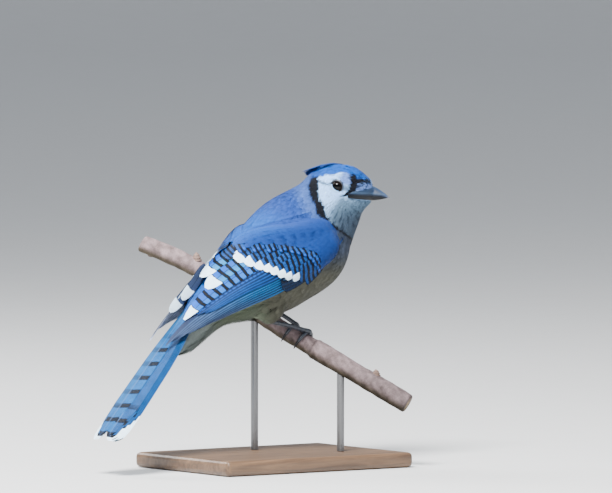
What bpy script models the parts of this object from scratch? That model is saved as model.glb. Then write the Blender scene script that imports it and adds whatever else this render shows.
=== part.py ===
"""A blue jay, life size, on a short perch held by a plain display stand.

Metres, +Z up. The bird heads along +X with its left side at +Y, and its head is turned to its right.
The origin is the middle of the underside of the stand's base.
Shapes are worked out in millimetres from the middle of the perch under the toes, at GRIP.
"""
import math

import bmesh
import bpy
import numpy as np

MM = 0.001
GRIP = np.array((0.021, 0.0, 0.084))
GAP = 0.3
WELD = 1e-7

# The trunk, neck and head are ellipsoids blended into one another:
# centre, yaw and pitch in degrees, half sizes along, across and up, and the width of the blend
HEAD_CENTRE = np.array((29.5, -4.6, 101.0))
HEAD_YAW = -52.0
HEAD_PITCH = -10.0
FORMS = (
    ((-11, 0, 59.5), 0, 41, (49, 27.5, 34.5), 1),
    ((-48, 0, 38.5), 0, 31, (40, 20.5, 18), 22),
    ((-80, 0, 22), 0, 47, (27, 11, 8), 12),
    ((-83, 0, 10.5), 0, 44, (22, 9.5, 6), 8),
    ((12, 0, 58), 0, 60, (23, 21, 19.5), 14),
    ((15, -1, 83), 0, 62, (27, 19.5, 19), 14),
    (HEAD_CENTRE, HEAD_YAW, HEAD_PITCH, (20.9, 14.6, 16.5), 12),
    ((26.5, -5, 81), -30, 50, (13, 12, 11.5), 12),
    ((38.2, -15.4, 98.4), HEAD_YAW, HEAD_PITCH, (9.4, 7.2, 7.6), 8),
)
# The middle line of trunk, neck and head, from the undertail to the crown, as x and z
SPINE = ((-101, -2), (-91, 10), (-78, 23), (-61, 33), (-45, 42), (-25, 51), (-8, 61), (8, 74), (20, 88),
         (27, 101), (31, 119))
NECK_FROM = 0.71
HEAD_FROM = 0.805
SPLIT = 0.0008
RING_SIDES = 26
BODY_REACH = 60.0

# The folded wing is a sheet over the flank, from its lower edge over its middle to its upper edge.
# Each line is a cubic curve from the bend to the tip, for the left wing
WING_LOWER = ((9, 29, 60), (-24, 34, 31), (-75, 24, 31), (-114, 11.5, -3.0))
WING_MIDDLE = ((8, 30, 68), (-23, 38, 62), (-69, 25, 47), (-115, 10.0, 0.5))
WING_UPPER = ((0, 26, 78), (-50, 8, 63), (-66, -7, 74), (-114, 6.5, 3.5))
WING_TIP_RAISED = {"right": -1.5, "left": 1.5}
WING_CORE = 2.0
WING_CLEAR = 1.3
MIDLINE_CLEAR = 0.3
WING_EDGE = 0.7

# Wing feathers in tiers, from the lowest layer up. Each tier has its count, the places of the first and
# last root and of the first and last tip as (s, t), and how high root and tip stand over the sheet
WING_TIERS = (
    ("primaries", 5, (0.30, 0.04), (0.44, 0.30), (0.82, 0.01), (0.90, 0.42), -1.0, 0.0),
    ("long primaries", 3, (0.44, 0.22), (0.48, 0.42), (0.965, 0.25), (0.99, 0.75), -1.0, 0.4),
    ("secondaries", 4, (0.42, 0.40), (0.46, 0.74), (0.84, 0.52), (0.84, 0.82), -0.9, 0.7),
    ("tertials", 3, (0.47, 0.70), (0.45, 0.93), (0.845, 0.74), (0.675, 0.97), -0.7, 1.3),
    ("primary coverts", 3, (0.18, 0.05), (0.26, 0.22), (0.37, 0.03), (0.43, 0.24), -0.9, 0.5),
    ("greater coverts", 8, (0.13, 0.06), (0.40, 0.93), (0.25, 0.02), (0.545, 0.90), -1.0, 1.3),
    ("median coverts", 5, (0.06, 0.20), (0.31, 0.92), (0.18, 0.12), (0.455, 0.93), -1.1, 1.6),
)
VANE_THICK = 0.65
VANE_CLEAR = 0.6
VANE_TILT = 0.42
VANE_OVERLAP = 0.74
VANE_HALF_WIDTHS = (1.8, 5.6)
# Places along a feather and its share of the full width there
VANE_SHARES = np.array((0.0, 0.35, 0.7, 0.92, 1.0))
VANE_WIDTHS = np.array((0.7, 0.95, 1.0, 0.75, 0.3))

# The tail hangs from the rump. Its feathers lie in pairs, the middle pair on top
TAIL_ROOT = np.array((-80.7, 0.0, 31.9))
TAIL_TIP = np.array((-158.0, 0.0, -60.1))
TAIL_WIDTH = 29.0
TAIL_THICK = 3.4
TAIL_PAIRS = 6
TAIL_SHORTER = (4.0, 2.2, 0.8, 0.0, 0.3, 1.5)
RECTRIX_HALF_WIDTH = 6.2
RECTRIX_THICK = 0.6
# How far a feather lies off the middle at its root and at its tip, and the step to the next pair
RECTRIX_OFF = (0.6, 0.75, 1.2, 1.1)

# The bill, from the corner of the mouth
GAPE = (6.0, -3.2)
BILL_PITCH = -4.0
BILL_LENGTH = 29.0
BILL_FEATHERED = 15.0
BILL_HEIGHT = 6.8
BILL_DEPTH = 2.9
BILL_HALF_WIDTH = 4.2
GAPE_HALF_WIDTH = 8.0
BILL_SIDES = 6
BILL_GAP = 0.45

EYE_RADIUS = 4.4
EYE_AT = (2.4, 2.1)
EYE_SUNK = 3.3
LID_RADIUS = 4.0
LID_THICK = 0.9
LID_OUT = 2.4
LID_SIDES = 12
CREST_HALF_WIDTH = 3.1
# The nostril: along, aside and up from the corner of the mouth, and its half sizes
NOSTRIL_AT = (13.6, 3.3, 3.4)
NOSTRIL_SIZE = (1.5, 1.0, 0.6)

# The perch, a cut length of a twig that rises to the bird's left
PERCH_WAY = np.array((0.562, -0.669, -0.486))
PERCH_RADIUS = 6.0
PERCH_ENDS = (-125.0, 85.0)
# Past the knot beside the right foot the twig is thicker. The knot's two ends, and the radius after it
PERCH_KNOT = (8.8, 11.2)
PERCH_THICK_RADIUS = 6.9
PERCH_SIDES = 12
PERCH_STEPS = 21
PERCH_BOW = 7.0
BUD_SUNK = 1.5
BUDS = ((-84, -8, 4.5, 2.6), (57, 4, 3.0, 2.4), (-116, 150, 2.5, 2.2), (72, 120, 2.6, 2.0))

# Feet: place along the perch, and the heel, for right and left
FEET = (("right", 2.5, (-37.0, -12.5, 15.0)), ("left", -7.3, (-17.0, 8.0, 20.5)))
TOE_RADIUS = 1.45
TOE_SPREAD = {"right": (-2.9, 4.2), "left": (-4.2, 2.9)}
# Angles round the perch where the outer front toes, the middle one and the hind one start, end, and where
# the claw ends
OUTER_TOE = (-12, 88, 125)
MIDDLE_TOE = (-8, 100, 140)
HIND_TOE = (14, -92, -150)
HIND_SPREAD = -2.5
TARSUS_RADIUS = 1.5
LEG_SIDES = 6
TOE_STEPS = 4

BASE_SIZE = (150.0, 110.0, 10.0)
ROD_RADIUS = 2.5
ROD_PLACES = (32.0, -36.0)


def unit(v):
    return v / np.maximum(np.linalg.norm(v, axis=-1, keepdims=True), 1e-9)


def turned(yaw, pitch):
    """Rows are the along, left and up axes of a form that heads yaw round and pitch up."""
    y, p = math.radians(yaw), math.radians(pitch)
    along = np.array((math.cos(p) * math.cos(y), math.cos(p) * math.sin(y), math.sin(p)))
    left = np.array((-math.sin(y), math.cos(y), 0.0))
    return np.array((along, left, np.cross(along, left)))


def body_distance(points):
    """Rough distance outside the blended body, negative inside."""
    total = None
    for centre, yaw, pitch, radii, blend in FORMS:
        local = (points - np.array(centre)) @ turned(yaw, pitch).T
        near = np.linalg.norm(local / np.array(radii), axis=-1)
        slope = np.linalg.norm(local / np.array(radii) ** 2, axis=-1)
        gap = near * (near - 1) / np.maximum(slope, 1e-6)
        if total is None:
            total = gap
            continue
        mix = np.clip(blend - np.abs(total - gap), 0, None) / blend
        total = np.minimum(total, gap) - mix * mix * blend / 4
    return total


def body_normal(points):
    step = 0.05
    slopes = [body_distance(points + step * axis) - body_distance(points - step * axis) for axis in np.eye(3)]
    return unit(np.stack(slopes, axis=-1))


def lifted(points, clear):
    """Points pushed out to stand at least clear off the body."""
    points = np.array(points, dtype=float)
    for _ in range(3):
        short = np.clip(clear - body_distance(points), 0, None)
        points = points + body_normal(points) * short[..., None]
    return points


def set_on_body(points, clear):
    points = np.array(points, dtype=float)
    for _ in range(6):
        points = points - body_normal(points) * (body_distance(points) - clear)[..., None]
    return points


def smooth_line(points, count):
    """count points and unit directions along a smooth curve through the given ones, evenly spaced."""
    p = np.array(points, dtype=float)
    p = np.vstack((2 * p[0] - p[1], p, 2 * p[-1] - p[-2]))
    fine = []
    for i in range(1, len(p) - 2):
        for t in np.linspace(0, 1, 16, endpoint=False):
            a, b, c, d = p[i - 1], p[i], p[i + 1], p[i + 2]
            fine.append(0.5 * (2 * b + (c - a) * t + (2 * a - 5 * b + 4 * c - d) * t**2
                               + (3 * b - a - 3 * c + d) * t**3))
    fine.append(p[-2])
    fine = np.array(fine)
    run = np.concatenate(((0,), np.cumsum(np.linalg.norm(np.diff(fine, axis=0), axis=1))))
    at = np.linspace(0, run[-1], count) if np.isscalar(count) else np.array(count) * run[-1]
    line = np.stack([np.interp(at, run, fine[:, k]) for k in range(p.shape[1])], axis=1)
    ahead = np.stack([np.interp(at + 0.01 * run[-1], run, fine[:, k]) for k in range(p.shape[1])], axis=1)
    behind = np.stack([np.interp(at - 0.01 * run[-1], run, fine[:, k]) for k in range(p.shape[1])], axis=1)
    return line, unit(ahead - behind)


# Meshes

def material(name, colour, roughness, metallic=0.0):
    made = bpy.data.materials.get(name)
    if made:
        return made
    made = bpy.data.materials.new(name)
    made.use_nodes = True
    made.diffuse_color = (*colour, 1)
    shader = made.node_tree.nodes["Principled BSDF"]
    shader.inputs["Base Color"].default_value = (*colour, 1)
    shader.inputs["Roughness"].default_value = roughness
    shader.inputs["Metallic"].default_value = metallic
    return made


def solid(name, points, faces, finish):
    """A closed mesh object from points in millimetres off the grip."""
    mesh = bpy.data.meshes.new(name)
    mesh.from_pydata([tuple(GRIP + np.array(p) * MM) for p in points], [], faces)
    work = bmesh.new()
    work.from_mesh(mesh)
    bmesh.ops.recalc_face_normals(work, faces=work.faces)
    work.to_mesh(mesh)
    work.free()
    mesh.materials.append(finish)
    made = bpy.data.objects.new(name, mesh)
    bpy.context.collection.objects.link(made)
    return made


def loft(rings, flat_sides=()):
    """Points and triangles of a closed skin over rings of one size. A ring of one point closes an end.
    Sides named in flat_sides are split the other way, so that both faces of a thin piece match."""
    points, faces, starts = [], [], []
    for ring in rings:
        starts.append(len(points))
        points.extend(ring)
    for i in range(len(rings) - 1):
        a, b = starts[i], starts[i + 1]
        m, n = len(rings[i]), len(rings[i + 1])
        for j in range(max(m, n)):
            k = (j + 1) % max(m, n)
            if m == 1:
                faces.append((a, b + j, b + k))
            elif n == 1:
                faces.append((a + j, a + k, b))
            elif j in flat_sides:
                faces.append((a + j, a + k, b + j))
                faces.append((a + k, b + k, b + j))
            else:
                faces.append((a + j, a + k, b + k))
                faces.append((a + j, b + k, b + j))
    for ring, start in ((rings[0], starts[0]), (rings[-1], starts[-1])):
        last = len(ring) - 1
        for j in range(last // 2 + last % 2):
            near, near_next, far_next, far = start + j, start + j + 1, start + last - j - 1, start + last - j
            if near_next < far_next:
                faces.append((near, near_next, far_next))
                faces.append((near, far_next, far))
            elif near_next == far_next:
                faces.append((near, near_next, far))
    return points, faces


def ring_round(centre, along, radius_up, radius_side, sides, up=(0, 0, 1)):
    side = unit(np.cross(np.array(up, dtype=float), along))
    top = np.cross(along, side)
    turn = [math.tau * j / sides for j in range(sides)]
    return [centre + top * radius_up * math.cos(a) + side * radius_side * math.sin(a) for a in turn]


def keep_largest(made):
    """Points that all but meet become one, and only the largest closed surface stays."""
    work = bmesh.new()
    work.from_mesh(made.data)
    bmesh.ops.remove_doubles(work, verts=work.verts, dist=WELD)
    bmesh.ops.dissolve_degenerate(work, edges=work.edges, dist=WELD)
    bmesh.ops.delete(work, geom=[edge for edge in work.edges if not edge.link_faces], context="EDGES")
    left = set(work.faces)
    parts = []
    while left:
        start = left.pop()
        part, edge = [start], [start]
        while edge:
            for e in edge.pop().edges:
                for face in e.link_faces:
                    if face in left:
                        left.remove(face)
                        part.append(face)
                        edge.append(face)
        parts.append(part)
    parts.sort(key=lambda part: sum(face.calc_area() for face in part))
    loose = [face for part in parts[:-1] for face in part]
    bmesh.ops.delete(work, geom=loose, context="FACES")
    bmesh.ops.triangulate(work, faces=work.faces)
    work.to_mesh(made.data)
    work.free()


def combine(made, tools, operation, solver="EXACT"):
    """Joins the tools to a piece, or cuts them out of it, in one Boolean."""
    group = bpy.data.collections.new("tools")
    for tool in tools:
        group.objects.link(tool)
    step = made.modifiers.new("combine", "BOOLEAN")
    step.operation = operation
    step.solver = solver
    step.operand_type = "COLLECTION"
    step.collection = group
    bpy.context.view_layer.objects.active = made
    bpy.ops.object.modifier_apply(modifier=step.name)
    for tool in tools:
        bpy.data.objects.remove(tool)
    bpy.data.collections.remove(group)
    keep_largest(made)


def fused(name, pieces, finish, solver="EXACT"):
    made = solid(name, *pieces[0], finish)
    combine(made, [solid("piece", *piece, finish) for piece in pieces[1:]], "UNION", solver)
    return made


# Trunk, neck and head

def body_ring(where, sides=RING_SIDES):
    """The body's outline in the plane across the spine, at a share of the spine's length."""
    points, ways = smooth_line(SPINE, [where])
    centre = np.array((points[0, 0], -4.0 * where**3, points[0, 1]))
    along = unit(np.array((ways[0, 0], 0.0, ways[0, 1])))
    top = np.array((-along[2], 0.0, along[0]))
    angles = np.arange(sides) * math.tau / sides
    rays = np.cos(angles)[:, None] * top + np.sin(angles)[:, None] * np.array((0.0, 1.0, 0.0))
    inner = np.zeros(sides)
    outer = np.full(sides, BODY_REACH)
    for _ in range(24):
        middle = (inner + outer) / 2
        inside = body_distance(centre + rays * middle[:, None]) < 0
        inner = np.where(inside, middle, inner)
        outer = np.where(inside, outer, middle)
    return list(centre + rays * inner[:, None])


def body_piece(name, first, last, rings, finish, closed=False):
    places = list(np.linspace(first, last, rings))
    outlines = [body_ring(place) for place in places]
    if closed:
        outlines.append([np.mean(outlines[-1], axis=0) + np.array((0.3, 0, 0.6))])
    points, faces = loft(outlines)
    return solid(name, points, faces, finish)


# Wings and tail

def cubic(points, s):
    p = np.array(points, dtype=float)
    s = np.asarray(s, dtype=float)[..., None]
    return p[0] * (1 - s) ** 3 + 3 * p[1] * s * (1 - s) ** 2 + 3 * p[2] * s**2 * (1 - s) + p[3] * s**3


def wing_sheet(s, t, raised):
    """The left wing's outer face, s from bend to tip and t from lower to upper edge."""
    s, t = np.broadcast_arrays(np.asarray(s, dtype=float), np.asarray(t, dtype=float))
    low, mid, top = cubic(WING_LOWER, s), cubic(WING_MIDDLE, s), cubic(WING_UPPER, s)
    t = t[..., None]
    points = low * (1 - t) * (1 - 2 * t) + mid * 4 * t * (1 - t) + top * t * (2 * t - 1)
    points[..., 2] += raised * s**3
    points = lifted(points, WING_CLEAR + WING_CORE * (1 - 0.6 * np.clip(t[..., 0], 0, 1) ** 2))
    points[..., 1] = np.maximum(points[..., 1], MIDLINE_CLEAR + WING_EDGE)
    return points


def wing_slopes(s, t, raised):
    """How the sheet runs along the wing and up it, and its outward direction."""
    step = 0.01
    along = (wing_sheet(s + step, t, raised) - wing_sheet(s - step, t, raised)) / (2 * step)
    across = (wing_sheet(s, t + step, raised) - wing_sheet(s, t - step, raised)) / (2 * step)
    return along, across, unit(np.cross(along, across))


def wing_core(raised, steps=11, lanes=7, last=0.76):
    """The wing's slab: rings that go up its outer face and down its inner face."""
    rings = []
    for s in np.linspace(0, last, steps):
        t = np.linspace(0, 1, lanes)
        outer = wing_sheet(np.full(lanes, s), t, raised)
        thick = WING_CORE * (1 - 0.55 * s) * (1 - 0.5 * t**2)
        inner = outer - wing_slopes(np.full(lanes, s), t, raised)[2] * thick[:, None]
        inner = lifted(inner, WING_CLEAR)
        inner[:, 1] = np.maximum(inner[:, 1], MIDLINE_CLEAR)
        rings.append(list(outer) + list(inner[::-1]))
    return loft(rings, flat_sides=range(lanes, 2 * lanes - 1))


def vane_rings(centres, lefts, ups, half_widths, thick, tilt=0.0):
    """Four-cornered rings along a feather. A tilt lets its left edge stand higher than its right one."""
    rings = []
    for centre, left, up, half, depth in zip(centres, lefts, ups, half_widths, thick):
        if half == 0:
            rings.append([centre])
            continue
        rings.append([centre + left * half * a + up * (depth * b / 2 + tilt * a)
                      for a, b in ((-1, 1), (1, 1), (1, -1), (-1, -1))])
    return rings


def tier_vanes(tier, raised):
    """The feathers of one tier. Each is a little wider than the way to its neighbour, and lies on the sheet
    with its lower edge over the next feather."""
    _, count, root_a, root_b, tip_a, tip_b, low, high = tier
    order = np.linspace(0, 1, count)[:, None]
    roots = np.array(root_a) * (1 - order) + np.array(root_b) * order
    tips = np.array(tip_a) * (1 - order) + np.array(tip_b) * order
    places = roots[:, None] + (tips - roots)[:, None] * VANE_SHARES[None, :, None]
    s, t = places[..., 0], places[..., 1]
    along_s, along_t, outward = wing_slopes(s, t, raised)
    way = (tips - roots)[:, None]
    along = unit(along_s * way[..., :1] + along_t * way[..., 1:])
    across = np.cross(outward, along)
    centres = wing_sheet(s, t, raised)
    spacing = np.abs(np.sum(np.gradient(centres, axis=0) * across, axis=-1))
    half = np.clip(spacing * VANE_OVERLAP, *VANE_HALF_WIDTHS) * VANE_WIDTHS
    # The same step across, told in s and t
    pairs = ((along_s, along_s), (along_t, along_t), (along_s, along_t))
    ss, tt, st = [np.sum(a * b, axis=-1) for a, b in pairs]
    across_s, across_t = np.sum(across * along_s, axis=-1), np.sum(across * along_t, axis=-1)
    step_s = (across_s * tt - across_t * st) / (ss * tt - st * st)
    step_t = (across_t * ss - across_s * st) / (ss * tt - st * st)
    edges = {a: wing_sheet(s + step_s * half * a, t + step_t * half * a, raised) for a in (-1, 1)}
    rise = low + (high - low) * VANE_SHARES**0.75
    thick = VANE_THICK * (1 - 0.35 * VANE_SHARES)
    corners = [edges[a] + outward * (rise + thick * b / 2 - VANE_TILT * a)[None, :, None]
               for a, b in ((-1, 1), (1, 1), (1, -1), (-1, -1))]
    rings = lifted(np.stack(corners, axis=2), VANE_CLEAR)
    rings[..., 1] = np.maximum(rings[..., 1], MIDLINE_CLEAR)
    return [loft([list(ring) for ring in feather], flat_sides=(2,)) for feather in rings]


def mirrored(points, side):
    return [np.array(p) * ((1, -1, 1) if side == "right" else (1, 1, 1)) for p in points]


def plain_tail(extra=0.0):
    way = unit(TAIL_TIP - TAIL_ROOT)
    length = np.linalg.norm(TAIL_TIP - TAIL_ROOT)
    normal = np.cross(way, (0, 1, 0))
    rings = []
    for share, width in ((0, 0.45), (0.25, 0.8), (0.55, 1), (0.9, 0.95), (1, 0.5)):
        half = TAIL_WIDTH * width / 2 + extra
        centre = TAIL_ROOT + way * (length * share - (extra if share == 0 else 0))
        thick = TAIL_THICK / 2 * (1 - 0.6 * share) + extra
        rings.append([centre + np.array((0, y, 0)) * half + normal * z * thick
                      for y, z in ((-1, -1), (1, -1), (1, 1), (-1, 1))])
    return loft(rings)


def tail_vane(pair, sign):
    """One tail feather. Pairs count from the middle, and each lies under the one before it."""
    way = unit(TAIL_TIP - TAIL_ROOT)
    up = np.cross((0, 1, 0), way)
    length = np.linalg.norm(TAIL_TIP - TAIL_ROOT) - TAIL_SHORTER[pair]
    layer = 1.12 - 0.36 * pair - (0.17 if sign < 0 else 0)
    shares = np.array((0, 0.2, 0.5, 0.8, 0.94, 1.0))
    root_off, root_step, tip_off, tip_step = RECTRIX_OFF
    sideways = sign * (root_off + root_step * pair + (tip_off + tip_step * pair) * shares)
    half = RECTRIX_HALF_WIDTH * np.array((0.35, 0.7, 0.95, 1.0, 0.85, 0.42))
    centres = [TAIL_ROOT + way * length * share + np.array((0, side, 0)) + up * (layer - 0.006 * side**2)
               for share, side in zip(shares, sideways)]
    count = len(shares)
    thick = RECTRIX_THICK * (1 - 0.3 * shares)
    left = np.array((0.0, 1.0, 0.0))
    rings = vane_rings(centres, [left] * count, [up] * count, half, thick, 0.12 * -sign)
    return loft(rings, flat_sides=(2,))


def tail_block():
    """The fleshy root that carries the tail feathers."""
    way = unit(TAIL_TIP - TAIL_ROOT)
    normal = np.cross(way, (0, 1, 0))
    rings = []
    for run, half, depth in ((0, 4.6, 1.5), (12, 4.8, 1.35), (20, 3.5, 0.6)):
        centre = TAIL_ROOT + way * run
        rings.append([centre + np.array((0, a * half, 0)) + normal * b * depth
                      for a, b in ((-1, 1), (1, 1), (1, -1), (-1, -1))])
    return loft(rings)


def undertail_vane(row, lane):
    """A loose covert under the root of the tail."""
    side = (lane - 1.0) * 6.5
    start = (-57.0 - 13.0 * row, side * 1.1, 2.0 - 12.0 * row)
    end = (-88.0 - 10.0 * row, side * 0.9, -14.0 - 7.0 * row)
    shares = np.linspace(0, 1, 4)
    line = np.array(start) + (np.array(end) - np.array(start)) * shares[:, None]
    line = set_on_body(line, 0.0)
    normals = body_normal(line)
    line = line + normals * (-1.2 + 1.6 * shares[:, None])
    along = unit(np.gradient(line, axis=0))
    half = 4.9 * np.array((0.7, 1, 0.9, 0.35))
    rings = vane_rings(line, np.cross(normals, along), normals, half, 0.75 - 0.2 * shares)
    return loft(rings, flat_sides=(2,))


# Bill, eyes and lids

def head_point(forward, side, up):
    """A point from the head's centre. Side is to the bird's left."""
    return HEAD_CENTRE + np.array((forward, side, up)) @ turned(HEAD_YAW, HEAD_PITCH)


def bill_sections(lower, extra=0.0):
    axes = turned(HEAD_YAW, BILL_PITCH)
    corner = head_point(GAPE[0], 0, GAPE[1])
    length = BILL_LENGTH - (1.2 if lower else 0)
    rings = []
    for x in (0, 5, 10, 15, 19, 23, length - 3, length - 0.8, length):
        if x <= BILL_FEATHERED:
            share = x / BILL_FEATHERED
            half = GAPE_HALF_WIDTH + (BILL_HALF_WIDTH - GAPE_HALF_WIDTH) * share**0.8
            height = BILL_HEIGHT * (0.12 + 0.88 * share)
            depth = BILL_DEPTH * (0.5 + 0.5 * share)
        else:
            share = (x - BILL_FEATHERED) / (length - BILL_FEATHERED)
            half = BILL_HALF_WIDTH * (1 - share**1.4) + 0.3
            height = BILL_HEIGHT * (1 - share**1.5) + 0.35
            depth = BILL_DEPTH * (1 - share**1.6) + 0.25
        tall = -depth if lower else height
        half = (half * (0.88 if lower else 1)) + extra
        flat = -GAP / 2 if lower else GAP / 2
        outward = math.copysign(extra, tall)
        ring = []
        for j in range(BILL_SIDES + 1):
            angle = math.pi * j / BILL_SIDES
            rise = flat + (tall - flat) * math.sin(angle) ** 0.85
            ring.append((x, half * math.cos(angle), rise + (outward if 0 < j < BILL_SIDES else -outward)))
        rings.append([corner + np.array(p) @ axes for p in ring])
    if extra:
        rings[0] = [p - axes[0] * extra for p in rings[0]]
    return rings


def nostril(sign, finish):
    along, aside, rise = NOSTRIL_AT
    axes = turned(HEAD_YAW, BILL_PITCH)
    centre = head_point(GAPE[0], 0, GAPE[1]) + np.array((along, sign * aside, rise)) @ axes
    return ball("cutter", centre, NOSTRIL_SIZE, axes, finish, 6, 4)


def ball(name, centre, radii, axes, finish, sides=14, rows=8):
    rings = [[centre - axes[0] * radii[0]]]
    for i in range(1, rows):
        angle = math.pi * i / rows
        rings.append([centre + np.array((-radii[0] * math.cos(angle),
                                         radii[1] * math.sin(angle) * math.cos(math.tau * j / sides),
                                         radii[2] * math.sin(angle) * math.sin(math.tau * j / sides))) @ axes
                      for j in range(sides)])
    rings.append([centre + axes[0] * radii[0]])
    points, faces = loft(rings)
    return solid(name, points, faces, finish)


def eye_centre(side):
    """The ball sits a little way into the side of the head."""
    sign = 1 if side == "left" else -1
    reach = np.linspace(5, 20, 400)
    points = np.array([head_point(EYE_AT[0], sign * r, EYE_AT[1]) for r in reach])
    surface = np.interp(0, body_distance(points), reach)
    return head_point(EYE_AT[0], sign * (surface - EYE_SUNK), EYE_AT[1])


def crest_vane(lane, row):
    """A crown feather that lies back along the head and stands clear of the nape at its tip."""
    if row == 0:
        marks = ((-1.0, 2.4 * lane, 16.5), (-12.0, 2.0 * lane, 13.0),
                 (-26.0 + 0.9 * abs(lane), 1.1 * lane, 6.4 - 0.5 * abs(lane)))
    else:
        marks = ((-7.0, 2.8 * lane, 14.0), (-13.0, 2.6 * lane, 10.0),
                 (-21.5 + 0.5 * abs(lane), 2.2 * lane, 2.8))
    root = set_on_body(head_point(*marks[0])[None], -0.9)[0]
    middle = lifted(head_point(*marks[1])[None], 0.5)[0]
    tip = head_point(*marks[2])
    line, ways = smooth_line((root, middle, tip), 4)
    side = turned(HEAD_YAW, HEAD_PITCH)[1]
    ups = unit(np.cross(ways, side))
    ups = ups * np.sign(ups[:, 2:3])
    half = CREST_HALF_WIDTH * np.array((0.8, 1, 0.8, 0.2))
    return loft(vane_rings(line, [side] * 4, ups, half, (0.8, 0.8, 0.7, 0.5)), flat_sides=(2,))


def bristle_vane(lane, sign):
    """A small feather that points forward over the nostril."""
    marks = ((14.5, sign * (1.2 + 1.6 * lane), 5.0 - 1.2 * lane),
             (22.0 - lane, sign * (0.8 + 1.3 * lane), 3.6 - 1.2 * lane))
    root = set_on_body(head_point(*marks[0])[None], -0.8)[0]
    line, ways = smooth_line((root, head_point(*marks[1])), 4)
    side = turned(HEAD_YAW, HEAD_PITCH)[1]
    ups = unit(np.cross(ways, side))
    ups = ups * np.sign(ups[:, 2:3])
    half = 1.3 * np.array((0.9, 1, 0.8, 0.3))
    return loft(vane_rings(line, [side] * 4, ups, half, (1.0, 0.9, 0.8, 0.5)), flat_sides=(2,))


def lid(side):
    """The ring of bare skin round the eyeball."""
    sign = 1 if side == "left" else -1
    forward, left, up = turned(HEAD_YAW, HEAD_PITCH)
    centre = eye_centre(side) + left * sign * LID_OUT
    rings = []
    for i in range(LID_SIDES):
        angle = math.tau * i / LID_SIDES
        out = forward * math.cos(angle) + up * math.sin(angle)
        corners = [math.radians(45 + 90 * k) for k in range(4)]
        rings.append([centre + out * (LID_RADIUS + LID_THICK * math.cos(a)) + left * sign * LID_THICK * math.sin(a)
                      for a in corners])
    points = [p for ring in rings for p in ring]
    faces = []
    for i in range(LID_SIDES):
        here, after = 4 * i, 4 * ((i + 1) % LID_SIDES)
        faces += [(here + j, here + (j + 1) % 4, after + (j + 1) % 4, after + j) for j in range(4)]
    return points, faces


# Legs

def perch_point(along, angle=0.0, radius=0.0):
    """A point off the perch's middle line. The angle runs from its top over to the side away from the tail."""
    over = unit(np.cross((0, 0, 1), PERCH_WAY))
    if over[0] < 0:
        over = -over
    top = unit(np.cross(PERCH_WAY, over))
    if top[2] < 0:
        top = -top
    a = math.radians(angle)
    return PERCH_WAY * along + (top * math.cos(a) + over * math.sin(a)) * radius


def toe(along, spread, first, last, claw):
    """A toe bent round the perch, with its claw."""
    reach = PERCH_RADIUS + GAP + TOE_RADIUS
    rings = []
    places = [(first + (last - first) * i / TOE_STEPS, 1.0) for i in range(TOE_STEPS + 1)]
    places += [(last + (claw - last) * i / 2, 1.0 - 0.4 * i) for i in (1, 2)]
    line = []
    for angle, size in places:
        share = (angle - first) / (claw - first)
        line.append((perch_point(along + spread * share, angle, reach + (1.2 if size < 0.4 else 0.2)), size))
    for i, (point, size) in enumerate(line):
        before = line[max(i - 1, 0)][0]
        after = line[min(i + 1, len(line) - 1)][0]
        pad = 1 - 0.12 * (i % 2) if size == 1.0 else size * 0.8
        radius = TOE_RADIUS * pad * (1 - 0.15 * i / len(line))
        rings.append(ring_round(point, unit(after - before), radius, radius, LEG_SIDES, up=PERCH_WAY))
    return loft(rings)


def foot(side, along, heel, finish):
    pieces = []
    low, high = TOE_SPREAD[side]
    for spread, angles in ((low, OUTER_TOE), (0, MIDDLE_TOE), (high, OUTER_TOE), (HIND_SPREAD, HIND_TOE)):
        pieces.append(toe(along, spread, *angles))
    ankle = perch_point(along, -14, PERCH_RADIUS + GAP + TOE_RADIUS + 0.6)
    line, ways = smooth_line((heel, (np.array(heel) * 0.45 + ankle * 0.55) + (0, 0, 0.6), ankle), 6)
    rings = [ring_round(p, w, TARSUS_RADIUS * 1.15, TARSUS_RADIUS, LEG_SIDES) for p, w in zip(line, ways)]
    pieces.append(loft(rings))
    return fused("foot_" + side, pieces, finish)


def thigh(name, side, heel, finish, extra=0.0):
    sign = -1 if side == "right" else 1
    hip = np.array((heel[0] + 11.0, sign * 14.0, heel[2] + 12.0))
    way = unit(hip - np.array(heel))
    left = unit(np.cross((0, 0, 1), way))
    axes = np.array((way, left, np.cross(way, left)))
    middle = (hip + np.array(heel)) / 2
    reach = np.linalg.norm(hip - np.array(heel)) / 2 + 2.0
    return ball(name, middle, (reach + extra, 7.0 + extra, 7.0 + extra), axes, finish, 12, 8)


# Perch and stand

def bud(along, angle, height, radius):
    """A bud or leaf scar that stands off the twig."""
    out = unit(perch_point(0, angle, 1.0))
    lean = unit(out - 0.6 * PERCH_WAY)
    lift = np.array((0, 0, perch_bend(along)))
    root = perch_point(along, angle, perch_radius(along) - BUD_SUNK) + lift
    rings = [ring_round(root, lean, radius, radius, 8, up=PERCH_WAY),
             ring_round(root + lean * (BUD_SUNK + height * 0.5), lean, radius * 0.95, radius * 0.8, 8, up=PERCH_WAY),
             ring_round(root + lean * (BUD_SUNK + height * 0.85), lean, radius * 0.6, radius * 0.5, 8, up=PERCH_WAY),
             [root + lean * (BUD_SUNK + height)]]
    return loft(rings)


def perch_bend(along):
    """The twig bows upwards between the grip and its high end."""
    return PERCH_BOW * math.sin(math.pi * min(max((-along - 8) / 145, 0), 1)) ** 2


def perch_radius(along):
    """The twig's radius, even under the feet and a little wavy past them."""
    radius = PERCH_THICK_RADIUS if along >= PERCH_KNOT[1] else PERCH_RADIUS
    if abs(along) <= 16:
        return radius
    return radius * (1 + 0.03 * math.sin(along / 9.0) - 0.0006 * along * (1 if along > 0 else 0.3))


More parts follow.
